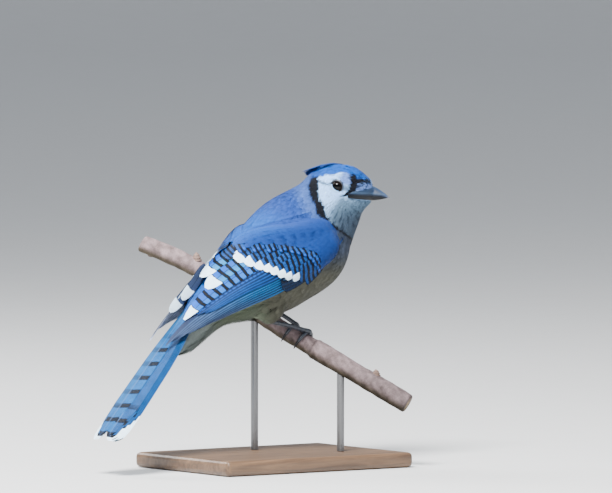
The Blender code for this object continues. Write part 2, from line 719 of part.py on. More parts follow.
def perch_rings(extra=0.0):
    rings = []
    start, end = PERCH_ENDS
    places = np.concatenate((np.linspace(start, PERCH_KNOT[0], 14),
                             np.linspace(PERCH_KNOT[1], end, PERCH_STEPS - 13)))
    for along in places:
        centre = perch_point(along) + np.array((0, 0, perch_bend(along)))
        radius = perch_radius(along) + extra
        rings.append(ring_round(centre, PERCH_WAY, radius, radius, PERCH_SIDES))
    return rings


def rod(name, along, finish):
    foot_at = perch_point(along)
    bottom = -GRIP[2] / MM + BASE_SIZE[2] + GAP
    rings = [[np.array((foot_at[0] + ROD_RADIUS * math.cos(math.tau * j / 16),
                        foot_at[1] + ROD_RADIUS * math.sin(math.tau * j / 16), z)) for j in range(16)]
             for z in (bottom, foot_at[2])]
    return solid(name, *loft(rings), finish)


def base(finish):
    bpy.ops.mesh.primitive_cube_add(size=1)
    made = bpy.context.object
    made.name = made.data.name = "stand_base"
    for corner in made.data.vertices:
        corner.co.x *= BASE_SIZE[0] * MM
        corner.co.y *= BASE_SIZE[1] * MM
        corner.co.z = (corner.co.z + 0.5) * BASE_SIZE[2] * MM
    round_off = made.modifiers.new("round off", "BEVEL")
    round_off.width = 3 * MM
    round_off.segments = 3
    made.data.materials.append(finish)
    return made


def main():
    for old in list(bpy.data.objects):
        bpy.data.objects.remove(old)
    plumage = material("plumage", (0.30, 0.42, 0.62), 0.8)
    horn = material("bill_horn", (0.10, 0.11, 0.13), 0.35)
    scale = material("leg_scales", (0.05, 0.06, 0.09), 0.5)
    eye = material("eye", (0.02, 0.012, 0.01), 0.1)
    bark = material("bark", (0.30, 0.24, 0.22), 0.8)
    wood = material("base_wood", (0.45, 0.36, 0.27), 0.5)
    metal = material("rod_metal", (0.6, 0.6, 0.6), 0.35, 1.0)

    torso = body_piece("torso", 0.02, NECK_FROM - SPLIT, 18, plumage)
    body_piece("neck", NECK_FROM + SPLIT, HEAD_FROM - SPLIT, 5, plumage)
    head = body_piece("head", HEAD_FROM + SPLIT, 0.985, 11, plumage, closed=True)

    for side in ("right", "left"):
        raised = WING_TIP_RAISED[side]
        pieces = [wing_core(raised)]
        for tier in WING_TIERS:
            pieces += tier_vanes(tier, raised)
        fused("wing_" + side, [(mirrored(points, side), faces) for points, faces in pieces], plumage,
              "MANIFOLD")
    pieces = [tail_block()]
    pieces += [tail_vane(pair, sign) for pair in range(TAIL_PAIRS) for sign in (-1, 1)]
    fused("tail", pieces, plumage)

    crown = [crest_vane(lane * 1.4, 0) for lane in range(-2, 3)]
    crown += [crest_vane((lane - 1.5) * 1.5, 1) for lane in range(4)]
    crown += [bristle_vane(lane * 1.4, sign) for lane in range(2) for sign in (-1, 1)]
    crown += [lid(side) for side in ("right", "left")]
    combine(head, [solid("piece", *piece, plumage) for piece in crown], "UNION")

    cutters = []
    for name, lower in (("bill_upper", False), ("bill_lower", True)):
        half = solid(name, *loft(bill_sections(lower)), horn)
        if not lower:
            combine(half, [nostril(sign, horn) for sign in (-1, 1)], "DIFFERENCE")
        cutters.append(solid("cutter", *loft(bill_sections(lower, BILL_GAP)), horn))
    axes = turned(HEAD_YAW, HEAD_PITCH)[[1, 2, 0]]
    for side in ("right", "left"):
        centre = eye_centre(side)
        ball("eye_" + side, centre, (EYE_RADIUS,) * 3, axes, eye)
        cutters.append(ball("cutter", centre, (EYE_RADIUS + GAP,) * 3, axes, eye))
    combine(head, cutters, "DIFFERENCE")

    sockets = []
    for side, along, heel in FEET:
        thigh("thigh_" + side, side, heel, plumage)
        sockets.append(thigh("cutter", side, heel, plumage, GAP))
        made = foot(side, along, heel, scale)
        combine(made, [thigh("cutter", side, heel, plumage, GAP)], "DIFFERENCE")
    sockets.append(solid("cutter", *plain_tail(GAP), plumage))
    coverts = [undertail_vane(row, lane + 0.5 * row) for row in (0, 1) for lane in range(3 - row)]
    combine(torso, [solid("piece", *piece, plumage) for piece in coverts], "UNION")
    combine(torso, sockets, "DIFFERENCE")

    fused("perch", [loft(perch_rings())] + [bud(*place) for place in BUDS], bark)
    base(wood)
    for i, along in enumerate(ROD_PLACES):
        made = rod("stand_rod_%d" % (i + 1), along, metal)
        combine(made, [solid("cutter", *loft(perch_rings(GAP)), bark)], "DIFFERENCE")


main()
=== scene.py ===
import math

import bpy
import numpy as np
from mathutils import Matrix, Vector
from mathutils.kdtree import KDTree


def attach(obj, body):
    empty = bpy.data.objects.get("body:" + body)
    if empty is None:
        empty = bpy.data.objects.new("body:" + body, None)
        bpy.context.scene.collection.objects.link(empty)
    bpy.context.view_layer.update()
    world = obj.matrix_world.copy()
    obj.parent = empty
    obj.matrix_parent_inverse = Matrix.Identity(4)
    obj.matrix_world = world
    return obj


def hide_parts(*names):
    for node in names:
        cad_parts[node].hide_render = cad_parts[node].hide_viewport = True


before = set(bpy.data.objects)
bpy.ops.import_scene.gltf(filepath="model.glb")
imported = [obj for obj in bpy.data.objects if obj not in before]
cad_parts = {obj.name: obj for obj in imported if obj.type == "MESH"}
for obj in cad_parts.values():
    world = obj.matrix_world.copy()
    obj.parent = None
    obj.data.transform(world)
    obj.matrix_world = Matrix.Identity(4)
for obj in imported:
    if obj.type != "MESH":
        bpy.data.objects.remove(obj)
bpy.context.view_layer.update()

MM = 0.001
GRIP = np.array((0.021, 0.0, 0.084))

# The bird's own sizes, as its solids have them, in millimetres off the grip
HEAD_CENTRE = np.array((29.5, -4.6, 101.0))
HEAD_YAW = -52.0
HEAD_PITCH = -10.0
FORMS = (
    ((-11, 0, 59.5), 0, 41, (49, 27.5, 34.5), 1),
    ((-48, 0, 38.5), 0, 31, (40, 20.5, 18), 22),
    ((-80, 0, 22), 0, 47, (27, 11, 8), 12),
    ((-83, 0, 10.5), 0, 44, (22, 9.5, 6), 8),
    ((12, 0, 58), 0, 60, (23, 21, 19.5), 14),
    ((15, -1, 83), 0, 62, (27, 19.5, 19), 14),
    (HEAD_CENTRE, HEAD_YAW, HEAD_PITCH, (20.9, 14.6, 16.5), 12),
    ((26.5, -5, 81), -30, 50, (13, 12, 11.5), 12),
    ((38.2, -15.4, 98.4), HEAD_YAW, HEAD_PITCH, (9.4, 7.2, 7.6), 8),
)
SPINE = ((-101, -2), (-91, 10), (-78, 23), (-61, 33), (-45, 42), (-25, 51), (-8, 61), (8, 74), (20, 88), (27, 101),
         (31, 119))
BODY_REACH = 60.0
FEET = (("right", 2.5, (-37.0, -12.5, 15.0)), ("left", -7.3, (-17.0, 8.0, 20.5)))

WING_LOWER = ((9, 29, 60), (-24, 34, 31), (-75, 24, 31), (-114, 11.5, -3.0))
WING_MIDDLE = ((8, 30, 68), (-23, 38, 62), (-69, 25, 47), (-115, 10.0, 0.5))
WING_UPPER = ((0, 26, 78), (-50, 8, 63), (-66, -7, 74), (-114, 6.5, 3.5))
WING_TIP_RAISED = {"right": -1.5, "left": 1.5}
WING_CORE = 2.0
WING_CLEAR = 1.3
MIDLINE_CLEAR = 1.0

TAIL_ROOT = np.array((-80.7, 0.0, 31.9))
TAIL_TIP = np.array((-158.0, 0.0, -60.1))
TAIL_SHORTER = (4.0, 2.2, 0.8, 0.0, 0.3, 1.5)
TAIL_INSIDE = 0.2

GAPE = (6.0, -3.2)
BILL_PITCH = -4.0
BILL_LENGTH = 29.0
BILL_FEATHERED = 15.0
BILL_HEIGHT = 6.8
BILL_DEPTH = 2.9
BILL_HALF_WIDTH = 4.2
GAPE_HALF_WIDTH = 8.0
EYE_RADIUS = 4.4
EYE_AT = (2.4, 2.1)
EYE_SUNK = 3.3

PERCH_WAY = np.array((0.562, -0.669, -0.486))
PERCH_RADIUS = 6.0
PERCH_THICK_RADIUS = 6.9
PERCH_KNOT = (8.8, 11.2)
PERCH_ENDS = (-125.0, 85.0)
PERCH_BOW = 7.0
BUDS = ((-84, -8, 4.5, 2.6), (57, 4, 3.0, 2.4), (-116, 150, 2.5, 2.2), (72, 120, 2.6, 2.0))
TOE_RADIUS = 1.45
TARSUS_RADIUS = 1.5
TOE_SPREAD = {"right": (-2.9, 4.2), "left": (-4.2, 2.9)}
BASE_SIZE = (150.0, 110.0, 10.0)

FLESH = ("torso", "neck", "head", "thigh_left", "thigh_right")

VIEW_AZIMUTH = -35.0
VIEW_ELEVATION = 3.0
VIEW_DISTANCE = 6.0
VIEW_WIDTH = 0.408
VIEW_OFFSET = (0.004, 0.0623)
PHOTO_SIZE = (612, 493)


def unit(v):
    return v / np.maximum(np.linalg.norm(v, axis=-1, keepdims=True), 1e-9)


def smoothstep(low, high, x):
    t = np.clip((x - low) / (high - low), 0, 1)
    return t * t * (3 - 2 * t)


def turned(yaw, pitch):
    """Rows are the along, left and up axes of a form that heads yaw round and pitch up."""
    y, p = math.radians(yaw), math.radians(pitch)
    along = np.array((math.cos(p) * math.cos(y), math.cos(p) * math.sin(y), math.sin(p)))
    left = np.array((-math.sin(y), math.cos(y), 0.0))
    return np.array((along, left, np.cross(along, left)))


def thigh_form(side, heel):
    sign = -1 if side == "right" else 1
    heel = np.array(heel)
    hip = np.array((heel[0] + 11.0, sign * 14.0, heel[2] + 12.0))
    way = unit(hip - heel)
    yaw = math.degrees(math.atan2(way[1], way[0]))
    reach = np.linalg.norm(hip - heel) / 2 + 2.0
    return ((hip + heel) / 2, yaw, math.degrees(math.asin(way[2])), (reach, 7.0, 7.0), 5.0)


ALL_FORMS = FORMS + tuple(thigh_form(side, heel) for side, _, heel in FEET)
FORM_AXES = [(np.array(centre, dtype=float), turned(yaw, pitch).T, np.array(radii, dtype=float), blend)
             for centre, yaw, pitch, radii, blend in ALL_FORMS]


def body_distance(points, forms=None):
    """Rough distance outside the blended body, negative inside."""
    total = None
    for centre, axes, radii, blend in FORM_AXES[:forms]:
        local = (points - centre) @ axes
        near = np.linalg.norm(local / radii, axis=-1)
        slope = np.linalg.norm(local / radii**2, axis=-1)
        gap = near * (near - 1) / np.maximum(slope, 1e-6)
        if total is None:
            total = gap
            continue
        mix = np.clip(blend - np.abs(total - gap), 0, None) / blend
        total = np.minimum(total, gap) - mix * mix * blend / 4
    return total


def body_normal(points):
    step = 0.05
    slopes = [body_distance(points + step * axis) - body_distance(points - step * axis) for axis in np.eye(3)]
    return unit(np.stack(slopes, axis=-1))


def lifted(points, clear):
    """Points pushed out to stand at least clear off the body, without the thighs."""
    points = np.array(points, dtype=float)
    for _ in range(3):
        short = np.clip(clear - body_distance(points, len(FORMS)), 0, None)
        points = points + body_normal(points) * short[..., None]
    return points


def set_on_body(points, clear, rounds=4):
    points = np.array(points, dtype=float)
    for _ in range(rounds):
        points = points - body_normal(points) * (body_distance(points) - clear)[..., None]
    return points


def smooth_line(points, at):
    """Points and unit directions on a smooth curve through the given ones. at is a count, or shares of its length."""
    p = np.array(points, dtype=float)
    p = np.vstack((2 * p[0] - p[1], p, 2 * p[-1] - p[-2]))
    fine = []
    for i in range(1, len(p) - 2):
        a, b, c, d = p[i - 1], p[i], p[i + 1], p[i + 2]
        for t in np.linspace(0, 1, 16, endpoint=False):
            fine.append(0.5 * (2 * b + (c - a) * t + (2 * a - 5 * b + 4 * c - d) * t**2
                               + (3 * b - a - 3 * c + d) * t**3))
    fine.append(p[-2])
    fine = np.array(fine)
    run = np.concatenate(((0,), np.cumsum(np.linalg.norm(np.diff(fine, axis=0), axis=1))))
    at = np.linspace(0, 1, at) if np.isscalar(at) else np.asarray(at)

    def place(share):
        return np.stack([np.interp(share * run[-1], run, fine[:, k]) for k in range(p.shape[1])], axis=-1)

    return place(at), unit(place(at + 0.01) - place(at - 0.01))


def head_point(forward, side, up):
    """A point from the head's centre. Side is to the bird's left."""
    return HEAD_CENTRE + np.array((forward, side, up)) @ turned(HEAD_YAW, HEAD_PITCH)


def photo_place(x, y, aside):
    """The point aside millimetres to the left of the middle line that shows at this pixel of the photograph."""
    pixel = VIEW_WIDTH / MM / PHOTO_SIZE[0]
    a, e = math.radians(VIEW_AZIMUTH), math.radians(VIEW_ELEVATION)
    right_by = (x - PHOTO_SIZE[0] / 2) * pixel + VIEW_OFFSET[0] / MM
    up_by = (PHOTO_SIZE[1] / 2 - y) * pixel + VIEW_OFFSET[1] / MM
    ahead = (right_by - aside * math.sin(a)) / math.cos(a)
    deep = ahead * math.sin(a) - aside * math.cos(a)
    return np.array((ahead, aside, (up_by + deep * math.sin(e)) / math.cos(e)))


def head_place(points):
    """Forward, side and up from the head's centre."""
    return (points - HEAD_CENTRE) @ turned(HEAD_YAW, HEAD_PITCH).T


# Colours, as display values

# How much of the light a display value of 255 gives back, under the studio's lamps
FULL_SHADE = 0.5


def shade(r, g, b):
    """The reflectance that shows as a display colour of 0 to 255 under the studio's lamps."""
    v = np.array((r, g, b)) / 255
    return FULL_SHADE * np.where(v <= 0.04045, v / 12.92, ((v + 0.055) / 1.055) ** 2.4)


CROWN = shade(0, 106, 222)
CREST = shade(0, 84, 190)
WHITE = shade(216, 280, 350)
TIP_WHITE = shade(300, 335, 360)
BROW = shade(132, 176, 265)
THROAT = shade(112, 146, 172)
SMUDGE = shade(72, 98, 136)
BLACK = shade(3, 10, 26)
NAPE = shade(84, 126, 212)
MANTLE = shade(44, 88, 182)
SHOULDER = shade(0, 68, 156)
RUMP = shade(26, 112, 218)
# BREAST and BELLY are the underside's own grey made darker: partly painted shade of the underside
BREAST = shade(76, 90, 114)
BELLY = shade(100, 100, 86)
VENT = shade(132, 146, 122)
UNDERTAIL = shade(146, 158, 154)


# Markings. The collar is a band told in a frame that turns half way with the head: how far forward
# its back and its front edge lie at each height
COLLAR_YAW = -30.0
COLLAR_CENTRE = np.array((22.0, -3.0, 0.0))
COLLAR_HEIGHTS = (58.0, 62.5, 68.0, 74.7, 80.5, 85.2, 90.7, 95.5, 101.8, 108.0, 116.0)
COLLAR_BACK = (24.0, 18.5, 11.5, 1.4, -5.8, -11.3, -12.3, -15.1, -15.8, -13.0, -11.0)
COLLAR_FRONT = (27.5, 21.2, 14.2, 4.2, -2.4, -5.5, -6.2, -9.8, -9.0, -8.6, -9.5)
# The crown's lower edge: forward and up from the head's centre
CROWN_EDGE = ((-26, 2.0), (-17.4, 4.3), (-12.5, 5.4), (-9.2, 6.9), (-5.8, 8.8), (-2.9, 8.7), (-0.6, 10.1), (1.7, 11.6),
              (5.5, 11.9), (8.0, 10.6), (9.9, 8.9), (14, 8.4), (18, 9.3), (24, 9.8))
# Lines on the head: forward, up and half width
LORE = ((9.6, 11.6, 0.7), (10.8, 9.8, 1.4), (11.4, 7.0, 2.0), (12.2, 4.1, 2.7), (12.2, 1.5, 2.3), (10.6, -0.9, 1.3),
        (8.6, -3.0, 0.7), (7.0, -3.8, 0.4))


def throat_streaks(f, h):
    """Dark lines that fan out from the bill over throat and cheek, from 0 to 1."""
    turn = np.arctan2(h + 4.0, f - 9.0)
    reach = np.hypot(h + 4.0, f - 9.0)
    wave = np.sin(54 * turn + 2.0 * np.sin(0.4 * reach)) + 0.8 * np.sin(31 * turn - 0.25 * reach)
    low = smoothstep(-5.0, -12.0, h) * smoothstep(-14.0, -6.0, f)
    return smoothstep(0.2, 1.3, wave) * smoothstep(3.0, 8.0, reach) * (0.16 + 0.55 * low) * (h < 6)
EYE_STRIPE = ((-10.5, 3.3, 0.3), (-8.0, 2.9, 0.6), (-4.6, 2.5, 0.7), (-2.2, 2.4, 0.5))
SPOTS = ((7.4, 8.6, 0.5), (8.4, 11.6, 0.4))
LOBE_LINE = ((13.4, 9.0, 0.5), (14.2, 13.8, 0.3))


def near_line(x, y, line):
    """Distance in a plane to the edge of a broken line of changing half width, negative inside."""
    best = np.full(np.shape(x), 1e9)
    for (ax, ay, aw), (bx, by, bw) in zip(line[:-1], line[1:]):
        t = np.clip(((x - ax) * (bx - ax) + (y - ay) * (by - ay)) / ((bx - ax) ** 2 + (by - ay) ** 2), 0, 1)
        best = np.minimum(best, np.hypot(x - ax - t * (bx - ax), y - ay - t * (by - ay)) - aw - (bw - aw) * t)
    return best


def blend(colour, other, share):
    return colour + (other - colour) * np.asarray(share)[..., None]


def plumage_colour(points, angles, stations):
    """The colour of skin and small feathers by their place: angle from the back's middle line, and station."""
    forward = turned(COLLAR_YAW, 0)[0]
    ahead = (points - COLLAR_CENTRE) @ forward
    height = points[..., 2]
    back = np.interp(height, COLLAR_HEIGHTS, COLLAR_BACK)
    front = np.interp(height, COLLAR_HEIGHTS, COLLAR_FRONT)
    f, s, h = np.moveaxis(head_place(points), -1, 0)
    aside = np.abs(s)

    low = 88 - 34 * smoothstep(0.26, 0.12, stations)
    ventral = smoothstep(low, low + 18, angles)
    colour = np.broadcast_to(MANTLE, points.shape).copy()
    colour = blend(colour, NAPE, smoothstep(14, 3, back - ahead) * smoothstep(60, 75, height))
    colour = blend(colour, SHOULDER, 0.85 * smoothstep(38, 66, angles) * smoothstep(86, 70, height))
    colour = blend(colour, RUMP, smoothstep(0.66, 0.50, stations))
    under = np.broadcast_to(BREAST, points.shape).copy()
    under = blend(under, BELLY, smoothstep(62, 42, height))
    under = blend(under, VENT, smoothstep(0.40, 0.30, stations))
    under = blend(under, UNDERTAIL, smoothstep(0.22, 0.12, stations))
    colour = colour + (under - colour) * ventral[..., None]

    face = np.broadcast_to(WHITE, points.shape).copy()
    face = blend(face, BROW, smoothstep(1.0, 4.0, f) * smoothstep(12.5, 9.0, f) * smoothstep(2.0, 5.5, h))
    face = blend(face, SMUDGE, 0.8 * smoothstep(2.6, 0.8, np.hypot(f - 8.6, h - 1.6)))
    # Darker over the throat's front and lower part: partly the throat's own grey-blue, partly painted shade on its side
    # turned from the light
    face = blend(face, THROAT, 0.88 * smoothstep(-3.0, -7.0, h) * smoothstep(2.0, 8.0, f))
    face = blend(face, THROAT, 0.5 * smoothstep(-8.0, -16.0, h) * smoothstep(-7.0, 4.0, f))
    face = blend(face, BREAST, 0.7 * smoothstep(-6.0, -20.0, h) * smoothstep(3.0, 12.0, f))
    face = blend(face, SMUDGE * 0.4, throat_streaks(f, h))
    face = blend(face, BLACK, 0.85 * smoothstep(0.3, -0.3, near_line(f, h, EYE_STRIPE)))
    face = blend(face, BROW * 0.7, smoothstep(13.0, 15.0, f) * smoothstep(0.0, 2.0, h))
    face = blend(face, BLACK, 0.75 * smoothstep(1.7, 0.8, np.hypot(f - 15.5, h - 4.4)))
    crown = CROWN + (CREST - CROWN) * smoothstep(-8, -18, f)[..., None] * 0.6
    edge = np.interp(f, *np.array(CROWN_EDGE).T)
    face = face + (crown - face) * smoothstep(-0.3, 0.3, h - edge)[..., None]
    frontlet = smoothstep(1.7, 1.2, np.abs(h - edge + 1.0 + 0.3 * np.sin(2.1 * s))) * smoothstep(7.8, 9.0, f)
    face = blend(face, BLACK, frontlet)
    face = blend(face, BLACK, smoothstep(0.3, -0.3, near_line(f, h, LORE)) * smoothstep(2.0, 5.0, aside))
    face = blend(face, BLACK, 0.85 * smoothstep(0.25, -0.25, near_line(f, h, SPOTS)) * (aside > 4))
    face = blend(face, BLACK, 0.7 * smoothstep(0.25, -0.25, near_line(f, h, LOBE_LINE)))

    is_face = smoothstep(-0.25, 0.25, ahead - front)
    colour = colour + (face - colour) * is_face[..., None]
    band = smoothstep(-0.25, 0.25, ahead - back) * (1 - is_face)
    over_crown = smoothstep(-0.3, 0.3, h - edge) * (height > 98)
    colour = colour + (BLACK - colour) * (band * (1 - over_crown))[..., None]
    return colour + (crown - colour) * (band * over_crown)[..., None]


# Materials

def node_maker(tree):
    def node(kind, **values):
        made = tree.nodes.new(kind)
        inputs = values.pop("inputs", {})
        for key, value in values.items():
            setattr(made, key, value)
        for key, value in inputs.items():
            if isinstance(value, bpy.types.NodeSocket):
                tree.links.new(value, made.inputs[key])
            else:
                made.inputs[key].default_value = value
        return made
    return node


def new_material(name, roughness, metallic=0.0, **fixed):
    made = bpy.data.materials.new(name)
    made.use_nodes = True
    tree = made.node_tree
    shader = tree.nodes["Principled BSDF"]
    shader.inputs["Roughness"].default_value = roughness
    shader.inputs["Metallic"].default_value = metallic
    for key, value in fixed.items():
        shader.inputs[key.replace("_", " ")].default_value = value
    return made, tree, shader, node_maker(tree)


def math_node(node, operation, a, b=None, c=None):
    values = {0: a}
    if b is not None:
        values[1] = b
    if c is not None:
        values[2] = c
    return node("ShaderNodeMath", operation=operation, inputs=values).outputs[0]


def mixed(node, factor, a, b, mode="MIX"):
    made = node("ShaderNodeMix", data_type="RGBA", blend_type=mode)
    for socket, value in ((0, factor), (6, a), (7, b)):
        if isinstance(value, bpy.types.NodeSocket):
            made.id_data.links.new(value, made.inputs[socket])
        else:
            made.inputs[socket].default_value = value
    return made.outputs[2]


def barbs(node, strength, distance=0.00012):
    """Fine lines that leave a feather's shaft at a slant, as bump."""
    vane = node("ShaderNodeUVMap", uv_map="Vane").outputs[0]
    parts = node("ShaderNodeSeparateXYZ", inputs={0: vane})
    slant = math_node(node, "MULTIPLY_ADD", math_node(node, "ABSOLUTE", parts.outputs[1]), -1.1, parts.outputs[0])
    wave = math_node(node, "SINE", math_node(node, "MULTIPLY", slant, 16.0))
    return node("ShaderNodeBump", inputs={"Strength": strength, "Distance": distance, "Height": wave}).outputs[0]


def plumage_material(name, roughness=0.65, sheen=0.04, strength=0.4):
    made, tree, shader, node = new_material(name, roughness, Sheen_Weight=sheen, Sheen_Roughness=0.4,
                                            Specular_IOR_Level=0.15)
    tint = node("ShaderNodeAttribute", attribute_name="tint").outputs["Color"]
    place = node("ShaderNodeTexCoord").outputs["Object"]
    mottle = node("ShaderNodeTexNoise", inputs={"Vector": place, "Scale": 700.0, "Detail": 3.0})
    light = math_node(node, "MULTIPLY_ADD", mottle.outputs["Fac"], 0.4, 0.8)
    colour = mixed(node, 1.0, tint, light, "MULTIPLY")
    tree.links.new(colour, shader.inputs["Base Color"])
    rough = math_node(node, "MULTIPLY_ADD", mottle.outputs["Fac"], 0.2, roughness - 0.1)
    tree.links.new(rough, shader.inputs["Roughness"])
    tree.links.new(barbs(node, strength), shader.inputs["Normal"])
    return made


def flight_material(name, shaft_colour, shaft_share, edge_share, edge_width=0.14, bar_share=0.36):
    """Large feathers: black cross bars, a white tip, a shaft line and a dark lower edge, from what each
    feather's points carry: lay is the distance from the tip, the place across and where the shaft lies across,
    and marks is the strength of the bars, the way between them and the length of the white tip."""
    made, tree, shader, node = new_material(name, 0.5, Sheen_Weight=0.02, Sheen_Roughness=0.4, Specular_IOR_Level=0.15)
    tint = node("ShaderNodeAttribute", attribute_name="tint").outputs["Color"]
    lay = node("ShaderNodeSeparateXYZ", inputs={0: node("ShaderNodeAttribute", attribute_name="lay").outputs["Vector"]})
    marks = node("ShaderNodeSeparateXYZ",
                 inputs={0: node("ShaderNodeAttribute", attribute_name="marks").outputs["Vector"]})
    from_tip, across, middle = lay.outputs
    strength, spacing, white = marks.outputs
    place = node("ShaderNodeTexCoord").outputs["Object"]
    noise = node("ShaderNodeTexNoise", inputs={"Vector": place, "Scale": 450.0, "Detail": 3.0}).outputs["Fac"]
    coarse = node("ShaderNodeTexNoise", inputs={"Vector": place, "Scale": 170.0, "Detail": 2.0}).outputs["Fac"]
    off = math_node(node, "SUBTRACT", across, middle)
    aside = math_node(node, "ABSOLUTE", off)
    bent = math_node(node, "MULTIPLY_ADD", math_node(node, "MULTIPLY", off, off), -0.8, from_tip)
    bent = math_node(node, "MULTIPLY_ADD", noise, 1.2, bent)
    turns = math_node(node, "FRACT", math_node(node, "DIVIDE", math_node(node, "SUBTRACT", bent, white), spacing))
    bar = math_node(node, "SUBTRACT", 0.5, math_node(node, "ABSOLUTE", math_node(node, "SUBTRACT", turns, 0.5)))
    bar = node("ShaderNodeMapRange", interpolation_type="SMOOTHSTEP",
               inputs={"Value": bar, "From Min": bar_share / 2 + 0.035, "From Max": bar_share / 2 - 0.035}).outputs[0]
    bar = math_node(node, "MULTIPLY", bar, strength)
    light = math_node(node, "MULTIPLY_ADD", coarse, 0.7, 0.65)
    colour = mixed(node, 1.0, tint, light, "MULTIPLY")
    edge = node("ShaderNodeMapRange", inputs={"Value": across, "From Min": edge_width - 1.0, "From Max": -1.0}).outputs[0]
    colour = mixed(node, math_node(node, "MULTIPLY", edge, edge_share), colour, (*BLACK, 1))
    colour = mixed(node, bar, colour, (*BLACK, 1))
    ragged = math_node(node, "MULTIPLY_ADD", noise, -2.6, bent)
    tip = node("ShaderNodeMapRange", interpolation_type="SMOOTHSTEP",
               inputs={"Value": math_node(node, "SUBTRACT", ragged, white), "From Min": -0.4, "From Max": -1.0}).outputs[0]
    has_tip = node("ShaderNodeMapRange", inputs={"Value": white, "From Min": 0.7, "From Max": 1.2}).outputs[0]
    colour = mixed(node, math_node(node, "MULTIPLY", tip, has_tip), colour, (*TIP_WHITE, 1))
    shaft = node("ShaderNodeMapRange", inputs={"Value": aside, "From Min": 0.07, "From Max": 0.03}).outputs[0]
    shaft = math_node(node, "MULTIPLY", shaft, math_node(node, "SUBTRACT", 1.0, math_node(node, "MULTIPLY", tip, has_tip)))
    colour = mixed(node, math_node(node, "MULTIPLY", shaft, shaft_share), colour, (*shaft_colour, 1))
    colour = mixed(node, 1.0, colour, math_node(node, "MULTIPLY_ADD", noise, 0.4, 0.8), "MULTIPLY")
    tree.links.new(colour, shader.inputs["Base Color"])
    tree.links.new(math_node(node, "MULTIPLY_ADD", noise, 0.2, 0.45), shader.inputs["Roughness"])
    tree.links.new(barbs(node, 0.5), shader.inputs["Normal"])
    return made


def horn_material():
    made, tree, shader, node = new_material("bill_horn", 0.42, Specular_IOR_Level=0.3)
    tint = node("ShaderNodeAttribute", attribute_name="tint").outputs["Color"]
    place = node("ShaderNodeTexCoord").outputs["Object"]
    grain = node("ShaderNodeTexNoise", inputs={"Vector": place, "Scale": 900.0, "Detail": 4.0}).outputs["Fac"]
    light = math_node(node, "MULTIPLY_ADD", grain, 0.5, 0.75)
    tree.links.new(mixed(node, 1.0, tint, light, "MULTIPLY"), shader.inputs["Base Color"])
    tree.links.new(math_node(node, "MULTIPLY_ADD", grain, 0.25, 0.3), shader.inputs["Roughness"])
    bump = node("ShaderNodeBump", inputs={"Strength": 0.25, "Distance": 0.0002, "Height": grain})
    tree.links.new(bump.outputs[0], shader.inputs["Normal"])
    return made


def eye_material():
    made, tree, shader, node = new_material("eye_glass", 0.12, Specular_IOR_Level=0.16)
    tint = node("ShaderNodeAttribute", attribute_name="tint").outputs["Color"]
    place = node("ShaderNodeTexCoord").outputs["Object"]
    fibre = node("ShaderNodeTexNoise", inputs={"Vector": place, "Scale": 1500.0, "Detail": 2.0}).outputs["Fac"]
    tree.links.new(mixed(node, 1.0, tint, math_node(node, "MULTIPLY_ADD", fibre, 0.6, 0.7), "MULTIPLY"),
                   shader.inputs["Base Color"])
    return made


def strew(seed, region, spacing, candidates):
    """Roots at random over part of the body, thinned to about one for each square of spacing."""
    draw = np.random.default_rng(seed)
    stations = draw.uniform(0.012, 0.982, candidates)
    angles = draw.uniform(0, math.tau, candidates)
    middle, ways = smooth_line(SPINE, np.asarray(stations))
    points, along = ring_points(stations, angles, 0.0)
    from_top = np.degrees(np.minimum(angles, math.tau - angles))
    centre = np.stack((middle[..., 0], -4.0 * stations**3, middle[..., 1]), axis=-1)
    apart = spacing(points, from_top, stations)
    length = 0.97 * np.sum(np.linalg.norm(np.diff(np.array(SPINE, dtype=float), axis=0), axis=1))
    room = np.linalg.norm(points - centre, axis=1) * math.tau * length / candidates
    fits = region(points, from_top, stations) & (draw.uniform(0, 1, candidates) < room / apart**2)
    return {"points": points[fits], "along": along[fits], "stations": stations[fits], "angles": angles[fits],
            "from_top": from_top[fits], "apart": apart[fits]}


def scale_material():
    made, tree, shader, node = new_material("leg_scales", 0.42, Coat_Weight=0.1, Coat_Roughness=0.3)
    tint = node("ShaderNodeAttribute", attribute_name="tint").outputs["Color"]
    place = node("ShaderNodeTexCoord").outputs["Object"]
    grain = node("ShaderNodeTexNoise", inputs={"Vector": place, "Scale": 1400.0, "Detail": 3.0}).outputs["Fac"]
    tree.links.new(mixed(node, 1.0, tint, math_node(node, "MULTIPLY_ADD", grain, 0.7, 0.65), "MULTIPLY"),
                   shader.inputs["Base Color"])
    tree.links.new(math_node(node, "MULTIPLY_ADD", grain, 0.3, 0.28), shader.inputs["Roughness"])
    bump = node("ShaderNodeBump", inputs={"Strength": 0.4, "Distance": 0.0002, "Height": grain})
    tree.links.new(bump.outputs[0], shader.inputs["Normal"])
    return made


def bark_material():
    made, tree, shader, node = new_material("bark", 0.8, Specular_IOR_Level=0.25)
    tint = node("ShaderNodeAttribute", attribute_name="tint").outputs["Color"]
    place = node("ShaderNodeTexCoord").outputs["Object"]
    blotch = node("ShaderNodeTexNoise", inputs={"Vector": place, "Scale": 160.0, "Detail": 6.0, "Roughness": 0.65})
    fine = node("ShaderNodeTexNoise", inputs={"Vector": place, "Scale": 1300.0, "Detail": 4.0}).outputs["Fac"]
    ramp = node("ShaderNodeValToRGB", inputs={"Fac": blotch.outputs["Fac"]})
    ramp.color_ramp.elements[0].position, ramp.color_ramp.elements[0].color = 0.3, (0.42, 0.38, 0.36, 1)
    ramp.color_ramp.elements[1].position, ramp.color_ramp.elements[1].color = 0.7, (1.25, 1.18, 1.2, 1)
    colour = mixed(node, 1.0, tint, ramp.outputs[0], "MULTIPLY")
    colour = mixed(node, 1.0, colour, math_node(node, "MULTIPLY_ADD", fine, 0.7, 0.65), "MULTIPLY")
    tree.links.new(colour, shader.inputs["Base Color"])
    height = math_node(node, "MULTIPLY_ADD", fine, 0.4, blotch.outputs["Fac"])
    bump = node("ShaderNodeBump", inputs={"Strength": 0.6, "Distance": 0.0006, "Height": height})
    tree.links.new(bump.outputs[0], shader.inputs["Normal"])
    return made


